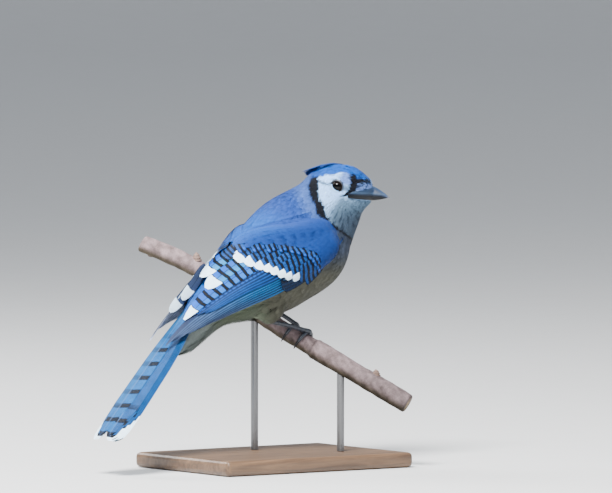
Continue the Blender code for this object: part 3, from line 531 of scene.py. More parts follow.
def wood_material():
    made, tree, shader, node = new_material("base_wood", 0.45, Coat_Weight=0.2, Coat_Roughness=0.3)
    place = node("ShaderNodeTexCoord").outputs["Object"]
    stretched = node("ShaderNodeMapping", inputs={"Vector": place, "Scale": (6.0, 60.0, 60.0)})
    rings = node("ShaderNodeTexNoise", inputs={"Vector": stretched.outputs[0], "Scale": 3.0, "Detail": 6.0,
                                               "Distortion": 1.2}).outputs["Fac"]
    pores = node("ShaderNodeTexNoise", inputs={"Vector": stretched.outputs[0], "Scale": 40.0, "Detail": 2.0}).outputs["Fac"]
    ramp = node("ShaderNodeValToRGB", inputs={"Fac": rings})
    ramp.color_ramp.elements[0].position, ramp.color_ramp.elements[0].color = 0.32, (*shade(92, 66, 46), 1)
    ramp.color_ramp.elements[1].position, ramp.color_ramp.elements[1].color = 0.68, (*shade(146, 112, 82), 1)
    colour = mixed(node, 1.0, ramp.outputs[0], math_node(node, "MULTIPLY_ADD", pores, 0.5, 0.75), "MULTIPLY")
    tree.links.new(colour, shader.inputs["Base Color"])
    tree.links.new(math_node(node, "MULTIPLY_ADD", pores, 0.25, 0.35), shader.inputs["Roughness"])
    bump = node("ShaderNodeBump", inputs={"Strength": 0.25, "Distance": 0.0003, "Height": pores})
    tree.links.new(bump.outputs[0], shader.inputs["Normal"])
    return made


def steel_material():
    made, tree, shader, node = new_material("rod_steel", 0.35, 1.0)
    shader.inputs["Base Color"].default_value = (*shade(170, 170, 172), 1)
    place = node("ShaderNodeTexCoord").outputs["Object"]
    turned_marks = node("ShaderNodeMapping", inputs={"Vector": place, "Scale": (1.0, 1.0, 40.0)})
    lines = node("ShaderNodeTexNoise", inputs={"Vector": turned_marks.outputs[0], "Scale": 120.0}).outputs["Fac"]
    tree.links.new(math_node(node, "MULTIPLY_ADD", lines, 0.3, 0.2), shader.inputs["Roughness"])
    bump = node("ShaderNodeBump", inputs={"Strength": 0.15, "Distance": 0.0001, "Height": lines})
    tree.links.new(bump.outputs[0], shader.inputs["Normal"])
    return made


# Meshes

# Faces that meet at more than this show a crisp edge
RIM_ANGLE = math.radians(60)


def mesh_piece(name, points, faces, finish, slot, nodes, bake=None, vane=None, **attributes):
    """A smooth mesh from points in millimetres off the grip and faces of one kind, riding on the root body.
    Each further value is told per point: bake and vane as UV maps, the rest as attributes."""
    mesh = bpy.data.meshes.new(name)
    points = np.asarray(points, dtype=float).reshape(-1, 3)
    faces = np.asarray(faces, dtype=np.int32)
    mesh.vertices.add(len(points))
    mesh.vertices.foreach_set("co", (GRIP + points * MM).astype(np.float32).ravel())
    mesh.loops.add(faces.size)
    mesh.loops.foreach_set("vertex_index", faces.ravel())
    mesh.polygons.add(len(faces))
    mesh.polygons.foreach_set("loop_start", np.arange(0, faces.size, faces.shape[1], dtype=np.int32))
    mesh.polygons.foreach_set("use_smooth", np.ones(len(faces), dtype=bool))
    mesh.update(calc_edges=True)
    for label, values in (("OFBake", bake), ("Vane", vane)):
        if values is not None:
            values = np.asarray(values, dtype=np.float32)
            layer = mesh.uv_layers.new(name=label)
            values = values if len(values) == faces.size else values[faces.ravel()]
            layer.data.foreach_set("uv", values.ravel())
    for label, values in attributes.items():
        values = np.asarray(values, dtype=np.float32).reshape(-1, 3)
        if label == "tint":
            layer = mesh.attributes.new(label, "FLOAT_COLOR", "POINT")
            layer.data.foreach_set("color", np.hstack((values, np.ones((len(values), 1), np.float32))).ravel())
        else:
            layer = mesh.attributes.new(label, "FLOAT_VECTOR", "POINT")
            layer.data.foreach_set("vector", values.ravel())
    mesh.validate()
    mesh.materials.append(finish)
    made = bpy.data.objects.new(name, mesh)
    bpy.context.collection.objects.link(made)
    bpy.ops.object.select_all(action="DESELECT")
    made.select_set(True)
    bpy.context.view_layer.objects.active = made
    bpy.ops.object.shade_smooth_by_angle(angle=RIM_ANGLE)
    return keep(made, nodes)


def keep(made, nodes):
    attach(made, "root")
    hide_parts(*nodes)
    return made


def outward(points, faces):
    """Faces turned so that the closed shape's volume is positive."""
    a, b, c = (points[faces[:, k]] for k in range(3))
    volume = np.sum(a * np.cross(b, c))
    if faces.shape[1] == 4:
        volume += np.sum(a * np.cross(c, points[faces[:, 3]]))
    return faces if volume > 0 else faces[:, ::-1]


def tube(rings):
    """Points and quads of a closed tube over rings of one size. Its ends are drawn in to small rings."""
    rings = np.asarray(rings, dtype=float)
    ends = [rings[k].mean(0) + (rings[k] - rings[k].mean(0)) * 0.02 for k in (0, -1)]
    rings = np.concatenate((ends[0][None], rings, ends[1][None]))
    m, n = rings.shape[:2]
    i, j = np.meshgrid(np.arange(m - 1), np.arange(n), indexing="ij")
    k = (j + 1) % n
    faces = np.stack((i * n + j, i * n + k, (i + 1) * n + k, (i + 1) * n + j), axis=-1).reshape(-1, 4)
    points = rings.reshape(-1, 3)
    return points, outward(points, faces)


class Vane:
    """A feather's shape: a closed leaf, thin at all its edges. For each point: its share of the length, its
    place across from -1 to 1, and 1 on the top face, -1 below and 0 at the edge."""

    def __init__(self, stations, widths, lanes=2):
        m = len(stations)
        spread = np.linspace(-1, 1, lanes + 1)
        index = {}
        self.along, self.across, self.face, self.width = [], [], [], []

        def point(i, j, side):
            pointed = widths[i] == 0
            key = (i, 0 if pointed else j, 0 if pointed or i in (0, m - 1) or j in (0, lanes) else side)
            if key not in index:
                index[key] = len(self.along)
                self.along.append(stations[i])
                self.across.append(0.0 if pointed else spread[j])
                self.width.append(widths[i])
                self.face.append(key[2])
            return index[key]

        faces = []
        for side in (1, -1):
            for i in range(m - 1):
                for j in range(lanes):
                    a, b = point(i, j, side), point(i, j + 1, side)
                    c, d = point(i + 1, j + 1, side), point(i + 1, j, side)
                    for face in ((a, b, c), (a, c, d)):
                        if len(set(face)) == 3:
                            faces.append(face[::side])
        self.faces = np.array(faces)
        self.along, self.across, self.face, self.width = (
            np.array(x, dtype=float) for x in (self.along, self.across, self.face, self.width))


SMALL_VANE = Vane((0, 0.4, 0.75, 0.93, 1.0), (0.45, 0.95, 1.0, 0.6, 0.0))
BODY_VANE = Vane((0, 0.25, 0.5, 0.72, 0.88, 0.97, 1.0), (0.4, 0.8, 1.0, 0.98, 0.78, 0.4, 0.0))
STRAND = Vane((0, 0.35, 0.7, 1.0), (0.6, 1.0, 0.7, 0.0), 1)
LONG_VANE = Vane(np.linspace(0, 1, 19), (0.35, 0.6, 0.78, 0.88, 0.95, 0.99, 1, 1, 1, 1, 1, 1, 1, 0.99, 0.96, 0.9, 0.8,
                                         0.62, 0.25), 6)
COVERT_VANE = Vane((0, 0.15, 0.3, 0.45, 0.6, 0.72, 0.82, 0.9, 0.96, 1.0),
                   (0.5, 0.75, 0.9, 0.97, 1.0, 1.0, 1.0, 0.97, 0.86, 0.55), 6)
TAIL_VANE = Vane(np.concatenate((np.linspace(0, 0.9, 24), (0.93, 0.96, 0.98, 1.0))),
                 np.interp(np.concatenate((np.linspace(0, 0.9, 24), (0.93, 0.96, 0.98, 1.0))),
                           (0, 0.2, 0.5, 0.8, 0.94, 0.98, 1), (0.4, 0.72, 0.93, 1.0, 0.92, 0.72, 0.42)), 8)


def flock(shape, centres, sides, ups, half, thick, camber=0.0):
    """Points of many feathers of one shape. centres, sides and ups are told at every point of the shape, as
    (count, points, 3); half is (count,) or (count, points)."""
    half = half if np.ndim(half) == 2 else half[:, None]
    off = shape.across * shape.width * half
    rise = shape.face * thick / 2 - camber * np.abs(off)
    return centres + sides * off[..., None] + ups * rise[..., None]


def faces_of(shape, count):
    return (shape.faces[None] + (np.arange(count) * len(shape.along))[:, None, None]).reshape(-1, 3)


# The skin

SKIN_RINGS = 190
SKIN_SIDES = 132
COAT_DEPTH = 1.1
FACE_DEPTH = 0.7


def bill_place(points):
    """Along, aside and up from the corner of the mouth, by the bill's own axes."""
    return (points - head_point(GAPE[0], 0, GAPE[1])) @ turned(HEAD_YAW, BILL_PITCH).T


def bare_bill(points, room=0.0):
    """Whether these places lie over the part of the bill that no feather covers."""
    x, _, z = np.moveaxis(bill_place(points), -1, 0)
    top = np.where(x < BILL_FEATHERED, 0.9 + 0.2 * (x - 3.0), 20.0)
    bottom = -BILL_DEPTH * (0.5 + 0.5 * np.clip(x / BILL_FEATHERED, 0, 1)) - 0.3
    return (x > 2.8) & (z < top + room) & (z > bottom - room)


def coat_depth(stations):
    return COAT_DEPTH + (FACE_DEPTH - COAT_DEPTH) * smoothstep(0.74, 0.86, stations)


def ring_points(stations, angles, clear):
    """Points round the spine at these stations and angles, clear millimetres off the body."""
    middle, ways = smooth_line(SPINE, np.asarray(stations))
    centre = np.stack((middle[..., 0], -4.0 * stations**3, middle[..., 1]), axis=-1)
    flat = np.stack((ways[..., 0], np.zeros_like(stations), ways[..., 1]), axis=-1)
    along = unit(flat)
    top = np.stack((-along[..., 2], np.zeros_like(stations), along[..., 0]), axis=-1)
    rays = np.cos(angles)[..., None] * top + np.sin(angles)[..., None] * np.array((0.0, 1.0, 0.0))
    inner = np.zeros(np.shape(stations))
    outer = np.full(np.shape(stations), BODY_REACH)
    for _ in range(20):
        half_way = (inner + outer) / 2
        inside = body_distance(centre + rays * half_way[..., None]) < clear
        inner = np.where(inside, half_way, inner)
        outer = np.where(inside, outer, half_way)
    return centre + rays * inner[..., None], along


def make_skin(finish):
    stations = np.linspace(0.008, 0.985, SKIN_RINGS)
    angles = np.arange(SKIN_SIDES) * math.tau / SKIN_SIDES
    where, turn = np.meshgrid(stations, angles, indexing="ij")
    points, _ = ring_points(where, turn, -coat_depth(where))
    from_top = np.degrees(np.minimum(turn, math.tau - turn))
    tint = plumage_colour(points, from_top, where) * 0.6
    grid, faces = tube(points)
    n = SKIN_SIDES
    full = np.concatenate((tint[:1], tint, tint[-1:])).reshape(-1, 3)
    m = SKIN_RINGS + 2
    i, j = np.meshgrid(np.arange(m - 1), np.arange(n), indexing="ij")
    corner = np.stack([np.stack(((j + b) / n, (i + a) / m), axis=-1) for a, b in ((0, 0), (0, 1), (1, 1), (1, 0))], axis=2)
    ordered = np.stack((i * n + j, i * n + (j + 1) % n, (i + 1) * n + (j + 1) % n, (i + 1) * n + j), axis=-1)
    if not np.array_equal(faces[0], ordered.reshape(-1, 4)[0]):
        corner = corner[:, :, ::-1]
    return mesh_piece("skin", grid, faces, finish, "body_plumage", FLESH, bake=corner.reshape(-1, 2) * 0.98 + 0.01,
                      vane=np.zeros((len(grid), 2)), tint=full)


# Small feathers

def scatter(seed, region, spacing, candidates, clear=0.0):
    """Roots spread over part of the body, none nearer to another than spacing at its place. region and
    spacing are functions of points, angles from the top in degrees, and stations."""
    draw = np.random.default_rng(seed)
    stations = draw.uniform(0.012, 0.982, candidates)
    angles = draw.uniform(0, math.tau, candidates)
    points, along = ring_points(stations, angles, clear)
    from_top = np.degrees(np.minimum(angles, math.tau - angles))
    fits = region(points, from_top, stations)
    points, along, stations, angles, from_top = (x[fits] for x in (points, along, stations, angles, from_top))
    apart = spacing(points, from_top, stations)
    tree = KDTree(len(points))
    for k, point in enumerate(points):
        tree.insert(point, k)
    tree.balance()
    free = np.ones(len(points), dtype=bool)
    chosen = []
    for k in range(len(points)):
        if free[k]:
            chosen.append(k)
            for _, other, _ in tree.find_range(points[k], apart[k]):
                free[other] = False
    chosen = np.array(chosen)
    return {"points": points[chosen], "along": along[chosen], "stations": stations[chosen], "angles": angles[chosen],
            "from_top": from_top[chosen], "apart": apart[chosen]}


def lie(points, along):
    """The way that the coat lies: back from the bill on the head, down each thigh, and toward the tail."""
    from_bill = points - head_point(21.0, 0.0, 0.0)
    near = smoothstep(36.0, 22.0, np.linalg.norm(from_bill, axis=-1))
    sweep = unit(from_bill) + np.array((0, 0, -0.25))
    way = sweep * near[..., None] - along * (1 - near)[..., None]
    outside = smoothstep(0.0, 2.0, body_distance(points, len(FORMS)))
    for side, _, heel in FEET:
        heel = np.array(heel)
        hip = heel + (11.0, (-14.0 if side == "right" else 14.0) - heel[1], 12.0)
        at_thigh = outside * ((points[..., 1] * (-1 if side == "right" else 1)) > 0)
        way = way + (unit(heel - hip) * 1.2 - way) * (0.8 * at_thigh)[..., None]
    return unit(way)


def coat(name, roots, shape, finish, slot, seed, length, half, low, high, thick=0.12, wander=0.12, shading=0.12,
         dark_root=0.7, loose=1.0):
    """Small feathers on their roots, lying along the body. length and half are shares of the roots' spacing, and
    low and high how far root and tip stand off the body. loose tells how much they differ from one another."""
    draw = np.random.default_rng(seed)
    count = len(roots["points"])
    ups = body_normal(roots["points"])
    way = lie(roots["points"], roots["along"])
    way = way + draw.normal(0, wander, (count, 3))
    way = unit(way - ups * np.sum(way * ups, axis=1, keepdims=True))
    long = length * roots["apart"] * draw.uniform(0.85, 1.15, count)
    seen = roots["points"] + way * (long * 0.7)[:, None]
    fits = ~(bare_bill(seen) | bare_bill(roots["points"] + way * long[:, None]) | bare_bill(roots["points"]))
    roots = {key: value[fits] for key, value in roots.items()}
    ups, way, long, seen = ups[fits], way[fits], long[fits], seen[fits]
    count = len(long)
    sides = np.cross(ups, way)
    wide = half * roots["apart"] * draw.uniform(0.85, 1.15, count)
    reach = shape.along * long[:, None]
    centres = roots["points"][:, None] + way[:, None] * reach[..., None]
    curl = draw.normal(0, 0.07 * loose, count)[:, None] * shape.along**2 * long[:, None]
    centres = centres + sides[:, None] * curl[..., None]
    points = flock(shape, centres, sides[:, None], ups[:, None], wide, 0.0)
    normals = body_normal(points)
    lift = low + (high - low) * shape.along**0.7
    lift = lift[None] + draw.uniform(-0.1, 0.1, (count, 1)) * loose * shape.along
    lift = lift - 0.04 * np.abs(shape.across) * wide[:, None] + shape.face * thick / 2
    for _ in range(2):
        points = points - normals * (body_distance(points) - lift)[..., None]
    seen_along = roots["stations"] - 0.0031 * long * 0.7
    colour = plumage_colour(seen, roots["from_top"], seen_along)
    colour = colour * np.exp(draw.normal(0, shading, (count, 1)))
    fade = dark_root + (1 - dark_root) * smoothstep(0.15, 0.75, shape.along)
    tint = colour[:, None] * fade[None, :, None]
    patch = 0.0015
    bake = np.stack((roots["angles"][:, None] / math.tau + shape.across * patch,
                     roots["stations"][:, None] + (shape.along - 0.5) * 2 * patch), axis=-1) * 0.98 + 0.01
    vane = np.stack((reach, shape.across * shape.width * wide[:, None]), axis=-1)
    return mesh_piece(name, points, faces_of(shape, count), finish, slot, FLESH, bake=bake.reshape(-1, 2),
                      vane=vane.reshape(-1, 2), tint=tint)


def make_coats(body, head):
    eye_middles = [eye_centre(side) for side in ("right", "left")]

    def eye_room(points):
        return np.min([np.linalg.norm(points - c, axis=-1) for c in eye_middles], axis=0)

    def on_head(points, from_top, stations):
        forward = turned(COLLAR_YAW, 0)[0]
        ahead = (points - COLLAR_CENTRE) @ forward
        front = np.interp(points[:, 2], COLLAR_HEIGHTS, COLLAR_BACK)
        return (ahead > front - 1.0) & (points[:, 2] > 58) & (eye_room(points) > 5.5)

    def on_trunk(points, from_top, stations):
        return ~on_head(points, from_top, stations) & (eye_room(points) > 8.0)

    def on_vent(points, from_top, stations):
        return (from_top > 125) & (stations > 0.05) & (stations < 0.40) & (body_distance(points, len(FORMS)) < 0.3)

    def face_spacing(points, from_top, stations):
        f, s, h = np.moveaxis(head_place(points), -1, 0)
        size = 0.75 + 0.55 * smoothstep(5, 14, eye_room(points)) + 0.35 * smoothstep(12, -4, f)
        return np.where(f > 12, np.minimum(size, 0.95), size)

    def trunk_spacing(points, from_top, stations):
        return 1.9 + 0.8 * smoothstep(0.78, 0.6, stations) + 0.5 * smoothstep(0.5, 0.25, stations)

    face = scatter(11, on_head, face_spacing, 50000)
    coat("coat_head", face, SMALL_VANE, head, "head_plumage", 12, 3.4, 0.8, -0.45, 0.0, thick=0.07, shading=0.05,
         loose=0.5)
    trunk = scatter(13, on_trunk, trunk_spacing, 40000)
    coat("coat_body", trunk, BODY_VANE, body, "body_plumage", 14, 3.2, 0.85, -0.6, 0.0, shading=0.03, wander=0.06,
         loose=0.4)
    fine_trunk = strew(15, on_trunk, lambda p, a, s: trunk_spacing(p, a, s) * 0.40, 90000)
    coat("barbs_body", fine_trunk, STRAND, body, "body_plumage", 16, 5.0, 0.15, -0.3, 0.08, thick=0.05, wander=0.05,
         shading=0.04, dark_root=0.85, loose=0.4)
    fine_face = strew(17, on_head, lambda p, a, s: face_spacing(p, a, s) * 0.42, 160000)
    coat("barbs_head", fine_face, STRAND, head, "head_plumage", 18, 6.5, 0.19, -0.25, 0.2, thick=0.05, wander=0.09,
         shading=0.20, dark_root=0.85, loose=0.8)
    fluff = strew(19, on_vent, lambda p, a, s: 1.0 + 0 * s, 30000)
    coat("vent_fluff", fluff, STRAND, body, "body_plumage", 20, 9.0, 0.16, -0.2, 1.7, thick=0.06, wander=0.22,
         shading=0.10, dark_root=0.9)


def make_undertail(finish):
    """Loose feathers under the root of the tail, and fine strands over them."""
    draw = np.random.default_rng(21)
    for name, shape, rows, lanes, half, thick, wander in (("undertail", BODY_VANE, 5, 5, 4.2, 0.1, 0.3),
                                                          ("undertail_barbs", STRAND, 12, 60, 0.22, 0.06, 1.0)):
        lines, tints = [], []
        for row in np.linspace(0, 1, rows):
            for lane in np.linspace(-1, 1, lanes):
                side = 7.5 * lane + draw.normal(0, wander)
                start = np.array((-54.0 - 15.0 * row, side * 1.1, 3.5 - 13.0 * row)) + draw.normal(0, wander, 3)
                end = np.array((-86.0 - 12.0 * row, side * 0.85, -12.5 - 8.5 * row)) + draw.normal(0, wander, 3)
                end = end - (end - start) * 0.22 * lane**2
                share = np.linspace(0, 1, 5)[:, None]
                line = set_on_body(start + (end - start) * share, 0.0)
                lines.append(line + body_normal(line) * (-1.0 + (2.1 + 0.2 * draw.normal()) * share))
                tints.append((VENT + (UNDERTAIL - VENT) * row) * math.exp(draw.normal(0, 0.07)))
        count = len(lines)
        centres, sides, tops = [], [], []
        for line in lines:
            middle, ways = smooth_line(line, shape.along)
            normal = body_normal(middle)
            across = unit(np.cross(normal, ways))
            centres.append(middle)
            sides.append(across)
            tops.append(np.cross(ways, across))
        points = flock(shape, np.array(centres), np.array(sides), np.array(tops), np.full(count, half), thick, camber=0.1)
        tint = np.array(tints)[:, None] * (0.8 + 0.2 * shape.along)[None, :, None]
        flat = points.reshape(-1, 3)
        vane = np.stack(np.broadcast_arrays(shape.along * 30.0, shape.across * half, ), axis=-1)
        mesh_piece(name, flat, facing_out(flat, faces_of(shape, count), shape), finish, "body_plumage", FLESH,
                   bake=atlas(shape, count, 0, 1).reshape(-1, 2), vane=np.tile(vane, (count, 1)), tint=tint)


# Wings

def cubic(points, s):
    p = np.array(points, dtype=float)
    s = np.asarray(s, dtype=float)[..., None]
    return p[0] * (1 - s) ** 3 + 3 * p[1] * s * (1 - s) ** 2 + 3 * p[2] * s**2 * (1 - s) + p[3] * s**3


def wing_sheet(s, t, raised):
    """The left wing's outer face, s from bend to tip and t from lower to upper edge."""
    s, t = np.broadcast_arrays(np.asarray(s, dtype=float), np.asarray(t, dtype=float))
    low, mid, top = cubic(WING_LOWER, s), cubic(WING_MIDDLE, s), cubic(WING_UPPER, s)
    t = t[..., None]
    points = low * (1 - t) * (1 - 2 * t) + mid * 4 * t * (1 - t) + top * t * (2 * t - 1)
    points[..., 2] += raised * s**3
    points = lifted(points, WING_CLEAR + WING_CORE * (1 - 0.6 * np.clip(t[..., 0], 0, 1) ** 2))
    points[..., 1] = np.maximum(points[..., 1], MIDLINE_CLEAR)
    return points


def wing_slopes(s, t, raised):
    step = 0.01
    along = (wing_sheet(s + step, t, raised) - wing_sheet(s - step, t, raised)) / (2 * step)
    across = (wing_sheet(s, t + step, raised) - wing_sheet(s, t - step, raised)) / (2 * step)
    return along, across, unit(np.cross(along, across))


WING_BLUE = shade(0, 82, 166)
WING_DEEP = shade(0, 54, 104)
WING_BRIGHT = shade(0, 108, 236)
TURQUOISE = shade(14, 122, 200)
SKY = shade(24, 164, 240)
SLATE = shade(66, 84, 124)
DUSK = shade(10, 26, 54)
INNER = shade(46, 64, 104)
TERTIAL_TIPS = {"right": ((0.895, 0.73), (0.765, 0.80), (0.735, 1.0)),
                "left": ((0.865, 1.04), (0.795, 1.03), (0.68, 1.0))}

# Tiers from the lowest layer up. Roots and tips are lines in (s, t) from the lowest feather to the highest.
# Then how high root and tip lie, the half width as a share of the way to the next feather and at least, the
# bars' strength and spacing, the white tip, and the colours of the outer and the inner vane at root and tip
WING_TIERS = (
    ("primaries", LONG_VANE, 9, ((0.30, 0.02), (0.38, 0.18), (0.46, 0.36)),
     ((0.77, 0.03), (0.87, 0.18), (0.95, 0.42), (0.995, 0.68)), (-0.6, 0.0), (1.5, 2.6), (0.0, 6.0), 0.0,
     (TURQUOISE, DUSK, SLATE, INNER)),
    ("secondaries", LONG_VANE, 8, ((0.42, 0.30), (0.45, 0.52), (0.47, 0.74)),
     ((0.80, 0.42), (0.85, 0.58), (0.86, 0.72)), (-0.2, 0.7), (1.5, 2.4), (0.85, 3.9), 0.0,
     (WING_BLUE, DUSK, WING_BLUE, INNER)),
    ("tertials", LONG_VANE, 3, ((0.47, 0.66), (0.46, 0.80), (0.45, 0.96)), None, (0.3, 1.3), (0.95, 3.9), (1.0, 5.4), 8.5,
     (SKY, WING_BRIGHT, SKY, WING_BRIGHT)),
    ("primary_coverts", COVERT_VANE, 5, ((0.17, 0.0), (0.22, 0.10), (0.27, 0.22)),
     ((0.37, 0.0), (0.40, 0.08), (0.415, 0.18), (0.43, 0.28)), (0.1, 0.8), (1.1, 2.0), (0.3, 2.4), 0.0,
     (WING_DEEP, WING_DEEP, WING_DEEP, DUSK)),
    ("greater_coverts", COVERT_VANE, 11, ((0.10, 0.04), (0.22, 0.38), (0.28, 0.64), (0.36, 0.88), (0.39, 0.97)),
     ((0.245, 0.0), (0.36, 0.17), (0.46, 0.37), (0.53, 0.64), (0.565, 0.87), (0.575, 0.97)), (0.3, 1.25), (1.35, 2.9),
     (1.0, 3.7), 5.6, (WING_BLUE, WING_BLUE, WING_BLUE, WING_BLUE)),
    ("median_coverts", COVERT_VANE, 12, ((0.05, 0.10), (0.14, 0.40), (0.20, 0.62), (0.28, 0.78), (0.36, 0.93)),
     ((0.175, 0.04), (0.215, 0.20), (0.27, 0.40), (0.335, 0.62), (0.41, 0.78), (0.50, 0.93)), (0.3, 1.5), (1.0, 2.2),
     (1.0, 3.3), 0.0, (WING_BLUE, WING_BLUE, WING_BRIGHT, WING_BLUE)),
)


def tier_points(tier, side, raised, draw):
    """Points, and what each carries, of one tier on the left wing."""
    name, shape, count, root_line, tip_line, rises, widths, bars, white, colours = tier
    order = np.linspace(0, 1, count)
    roots = smooth_line(root_line, order)[0]
    tips = smooth_line(tip_line or TERTIAL_TIPS[side], order)[0] + draw.normal(0, 0.003, (count, 2))
    line = shape.along
    places = roots[:, None] + (tips - roots)[:, None] * line[None, :, None]
    s, t = places[..., 0], places[..., 1]
    along_s, along_t, out = wing_slopes(s, t, raised)
    way = (tips - roots)[:, None]
    along = unit(along_s * way[..., :1] + along_t * way[..., 1:])
    across = np.cross(out, along)
    centres = wing_sheet(s, t, raised)
    spacing = np.abs(np.sum(np.gradient(centres, axis=0) * across, axis=-1))
    overlap, least = widths
    half = np.clip(spacing * overlap, least, 6.5)
    ss, tt, st = [np.sum(a * b, axis=-1) for a, b in ((along_s, along_s), (along_t, along_t), (along_s, along_t))]
    across_s, across_t = np.sum(across * along_s, axis=-1), np.sum(across * along_t, axis=-1)
    step_s = (across_s * tt - across_t * st) / (ss * tt - st * st)
    step_t = (across_t * ss - across_s * st) / (ss * tt - st * st)
    ends = wing_sheet(tips[:, 0], tips[:, 1], raised) - wing_sheet(roots[:, 0], roots[:, 1], raised)
    lengths = np.linalg.norm(ends, axis=1) * 1.02
    off = shape.across * half * shape.width
    place_s, place_t = s + step_s * off, t + step_t * off
    rise = rises[0] + (rises[1] - rises[0]) * line**0.75
    visible = np.clip(spacing / half, 0.2, 1.5)
    tilt = -0.16 * shape.across / visible.mean(1, keepdims=True)
    shaft_at = -1 + 0.8 * np.clip(visible.mean(1, keepdims=True), 0, 1.25)
    shaft = 0.10 * (np.abs(shape.across - shaft_at) < 0.18) * (shape.face > 0)
    height = rise + tilt + shaft + shape.face * 0.10
    points = wing_sheet(place_s, place_t, raised) + out * height[..., None]
    points = lifted(points, 0.45)
    points[..., 1] = np.maximum(points[..., 1], 0.3)
    outer_root, inner_root, outer_tip, inner_tip = colours
    edge = smoothstep(-0.04, 0.04, shape.across - shaft_at)[..., None]
    toward = smoothstep(0.2, 0.95, line)[:, None]
    outer = outer_root + (outer_tip - outer_root) * toward
    inner = inner_root + (inner_tip - inner_root) * toward
    tint = (outer + (inner - outer) * edge) * np.exp(draw.normal(0, 0.06, (count, 1, 1)))
    from_tip = (1 - line)[None] * lengths[:, None]
    strength = np.full(count, bars[0])
    whites = np.full(count, white)
    if name == "greater_coverts":
        whites = white * ((order > 0.15) & (order < 0.95))
    if name == "secondaries":
        strength = bars[0] * smoothstep(0.35, 0.75, order)
        tint = tint + (WING_BRIGHT - tint) * smoothstep(0.3, 1.0, order)[:, None, None] * (1 - edge)
    if name == "primaries":
        edge_line = smoothstep(-0.84, -0.95, shape.across)[None, :, None]
        tint = tint + (shade(110, 150, 200) - tint) * edge_line * 0.6 * smoothstep(0.3, 0.7, line)[None, :, None]
    if name == "tertials":
        bright = smoothstep(0.3, -0.5, shape.across)[None, :, None]
        tint = WING_BRIGHT + (SKY - WING_BRIGHT) * bright * np.array((0.25, 0.8, 1.0))[:, None, None] + np.zeros_like(tint)
    # Painted light: the under faces of the far wing's primaries and secondaries get a near-white colour, far paler than
    # their own slate, so that their shaded side shows lit; they get faint streaks and no bars
    if name in ("primaries", "secondaries") and side == "left":
        streak = 0.75 + 0.25 * np.sin(9.0 * shape.across + 1.0)
        pale = shade(235, 255, 300) * streak[None, :, None]
        tint = np.where((shape.face <= 0)[None, :, None], pale, tint)
        strength = strength * 0
    lay = np.stack(np.broadcast_arrays(from_tip, shape.across, shaft_at), axis=-1)
    apart = bars[1] * draw.uniform(0.86, 1.16, (count, 1))
    marks = np.stack(np.broadcast_arrays(strength[:, None], apart, whites[:, None] + 0 * from_tip), axis=-1)
    vane = np.stack((from_tip, off), axis=-1)
    return points, tint, lay, marks, vane


def facing_out(points, faces, shape):
    """The faces of many feathers of one shape, turned outward."""
    first = faces[:len(shape.faces)]
    if np.array_equal(outward(points - points[first].mean((0, 1)), first), first):
        return faces
    return faces[:, ::-1]


def atlas(shape, count, row, rows):
    """Room for each feather of a tier in a row of the bake map."""
    x = (np.arange(count)[:, None] + 0.5 + shape.across * 0.42) / count
    y = (row + 0.05 + shape.along * 0.9) / rows
    return np.stack(np.broadcast_arrays(x, y), axis=-1)


def make_wing(side, flight, covert, small):
    raised = WING_TIP_RAISED[side]
    draw = np.random.default_rng(40 if side == "right" else 41)
    flip = np.array((1, -1 if side == "right" else 1, 1))
    rings = []
    lanes = 9
    t = np.linspace(0, 0.86, lanes)
    for s in np.linspace(0.0, 0.72, 24):
        places = np.full(lanes, s)
        outer = wing_sheet(places, t, raised)
        out = wing_slopes(places, t, raised)[2]
        taper = (1 - 0.75 * s) * (1 - 0.5 * t**2)
        inner = lifted(outer - out * (WING_CORE * taper)[:, None], 0.5)
        inner[:, 1] = np.maximum(inner[:, 1], 0.3)
        rings.append(np.concatenate((outer - out * 0.6, inner[::-1])))
    points, faces = tube(rings)
    faces = outward(points * flip, faces)
    at = np.arange(len(points))
    mesh_piece("wing_core_" + side, points * flip, faces, small, "wing_plumage", ("wing_" + side,),
               bake=np.stack((at % (2 * lanes) / (2.0 * lanes), at / len(points)), axis=-1),
               vane=np.zeros((len(points), 2)),
               tint=np.broadcast_to(WING_DEEP * 0.6, points.shape))
    for tier in WING_TIERS:
        name, shape, count = tier[:3]
        points, tint, lay, marks, vane = tier_points(tier, side, raised, draw)
        flat = points.reshape(-1, 3) * flip
        mesh_piece(name + "_" + side, flat, facing_out(flat, faces_of(shape, count), shape),
                   covert if shape is COVERT_VANE else flight, "wing_plumage",
                   ("wing_" + side,), bake=atlas(shape, count, 0, 1).reshape(-1, 2), vane=vane.reshape(-1, 2), tint=tint,
                   lay=lay, marks=marks)
    make_covering(side, raised, flip, small)


def cover_sheet(s, t, raised):
    """The wing's face, drawn down to the body past its front, upper and lower edges."""
    inside_s, inside_t = np.clip(s, 0, 1), np.clip(t, 0, 1)
    points = wing_sheet(inside_s, inside_t, raised)
    step = 0.01
    along_s = (wing_sheet(step, inside_t, raised) - wing_sheet(0.0, inside_t, raised)) / step
    over_s = np.minimum(s, 0)
    edge = (t > 1).astype(float)
    near_edge = np.where(t > 0.5, 1 - step, step)
    along_t = (wing_sheet(inside_s, edge, raised) - wing_sheet(inside_s, near_edge, raised)) / (edge - near_edge)[..., None]
    over_t = t - inside_t
    points = points + along_s * over_s[..., None] + along_t * over_t[..., None]
    away = smoothstep(0, 1, np.hypot(over_s / 0.07, over_t / np.where(t > 1, 0.22, 0.09)))
    on_body = set_on_body(points, 0.15)
    return points + (on_body - points) * away[..., None]


TOP_LINE = ((-0.1, 0.04, 0.20, 0.40, 0.62, 0.78, 0.93, 1.3), (0.155, 0.165, 0.185, 0.215, 0.275, 0.36, 0.455, 0.49))


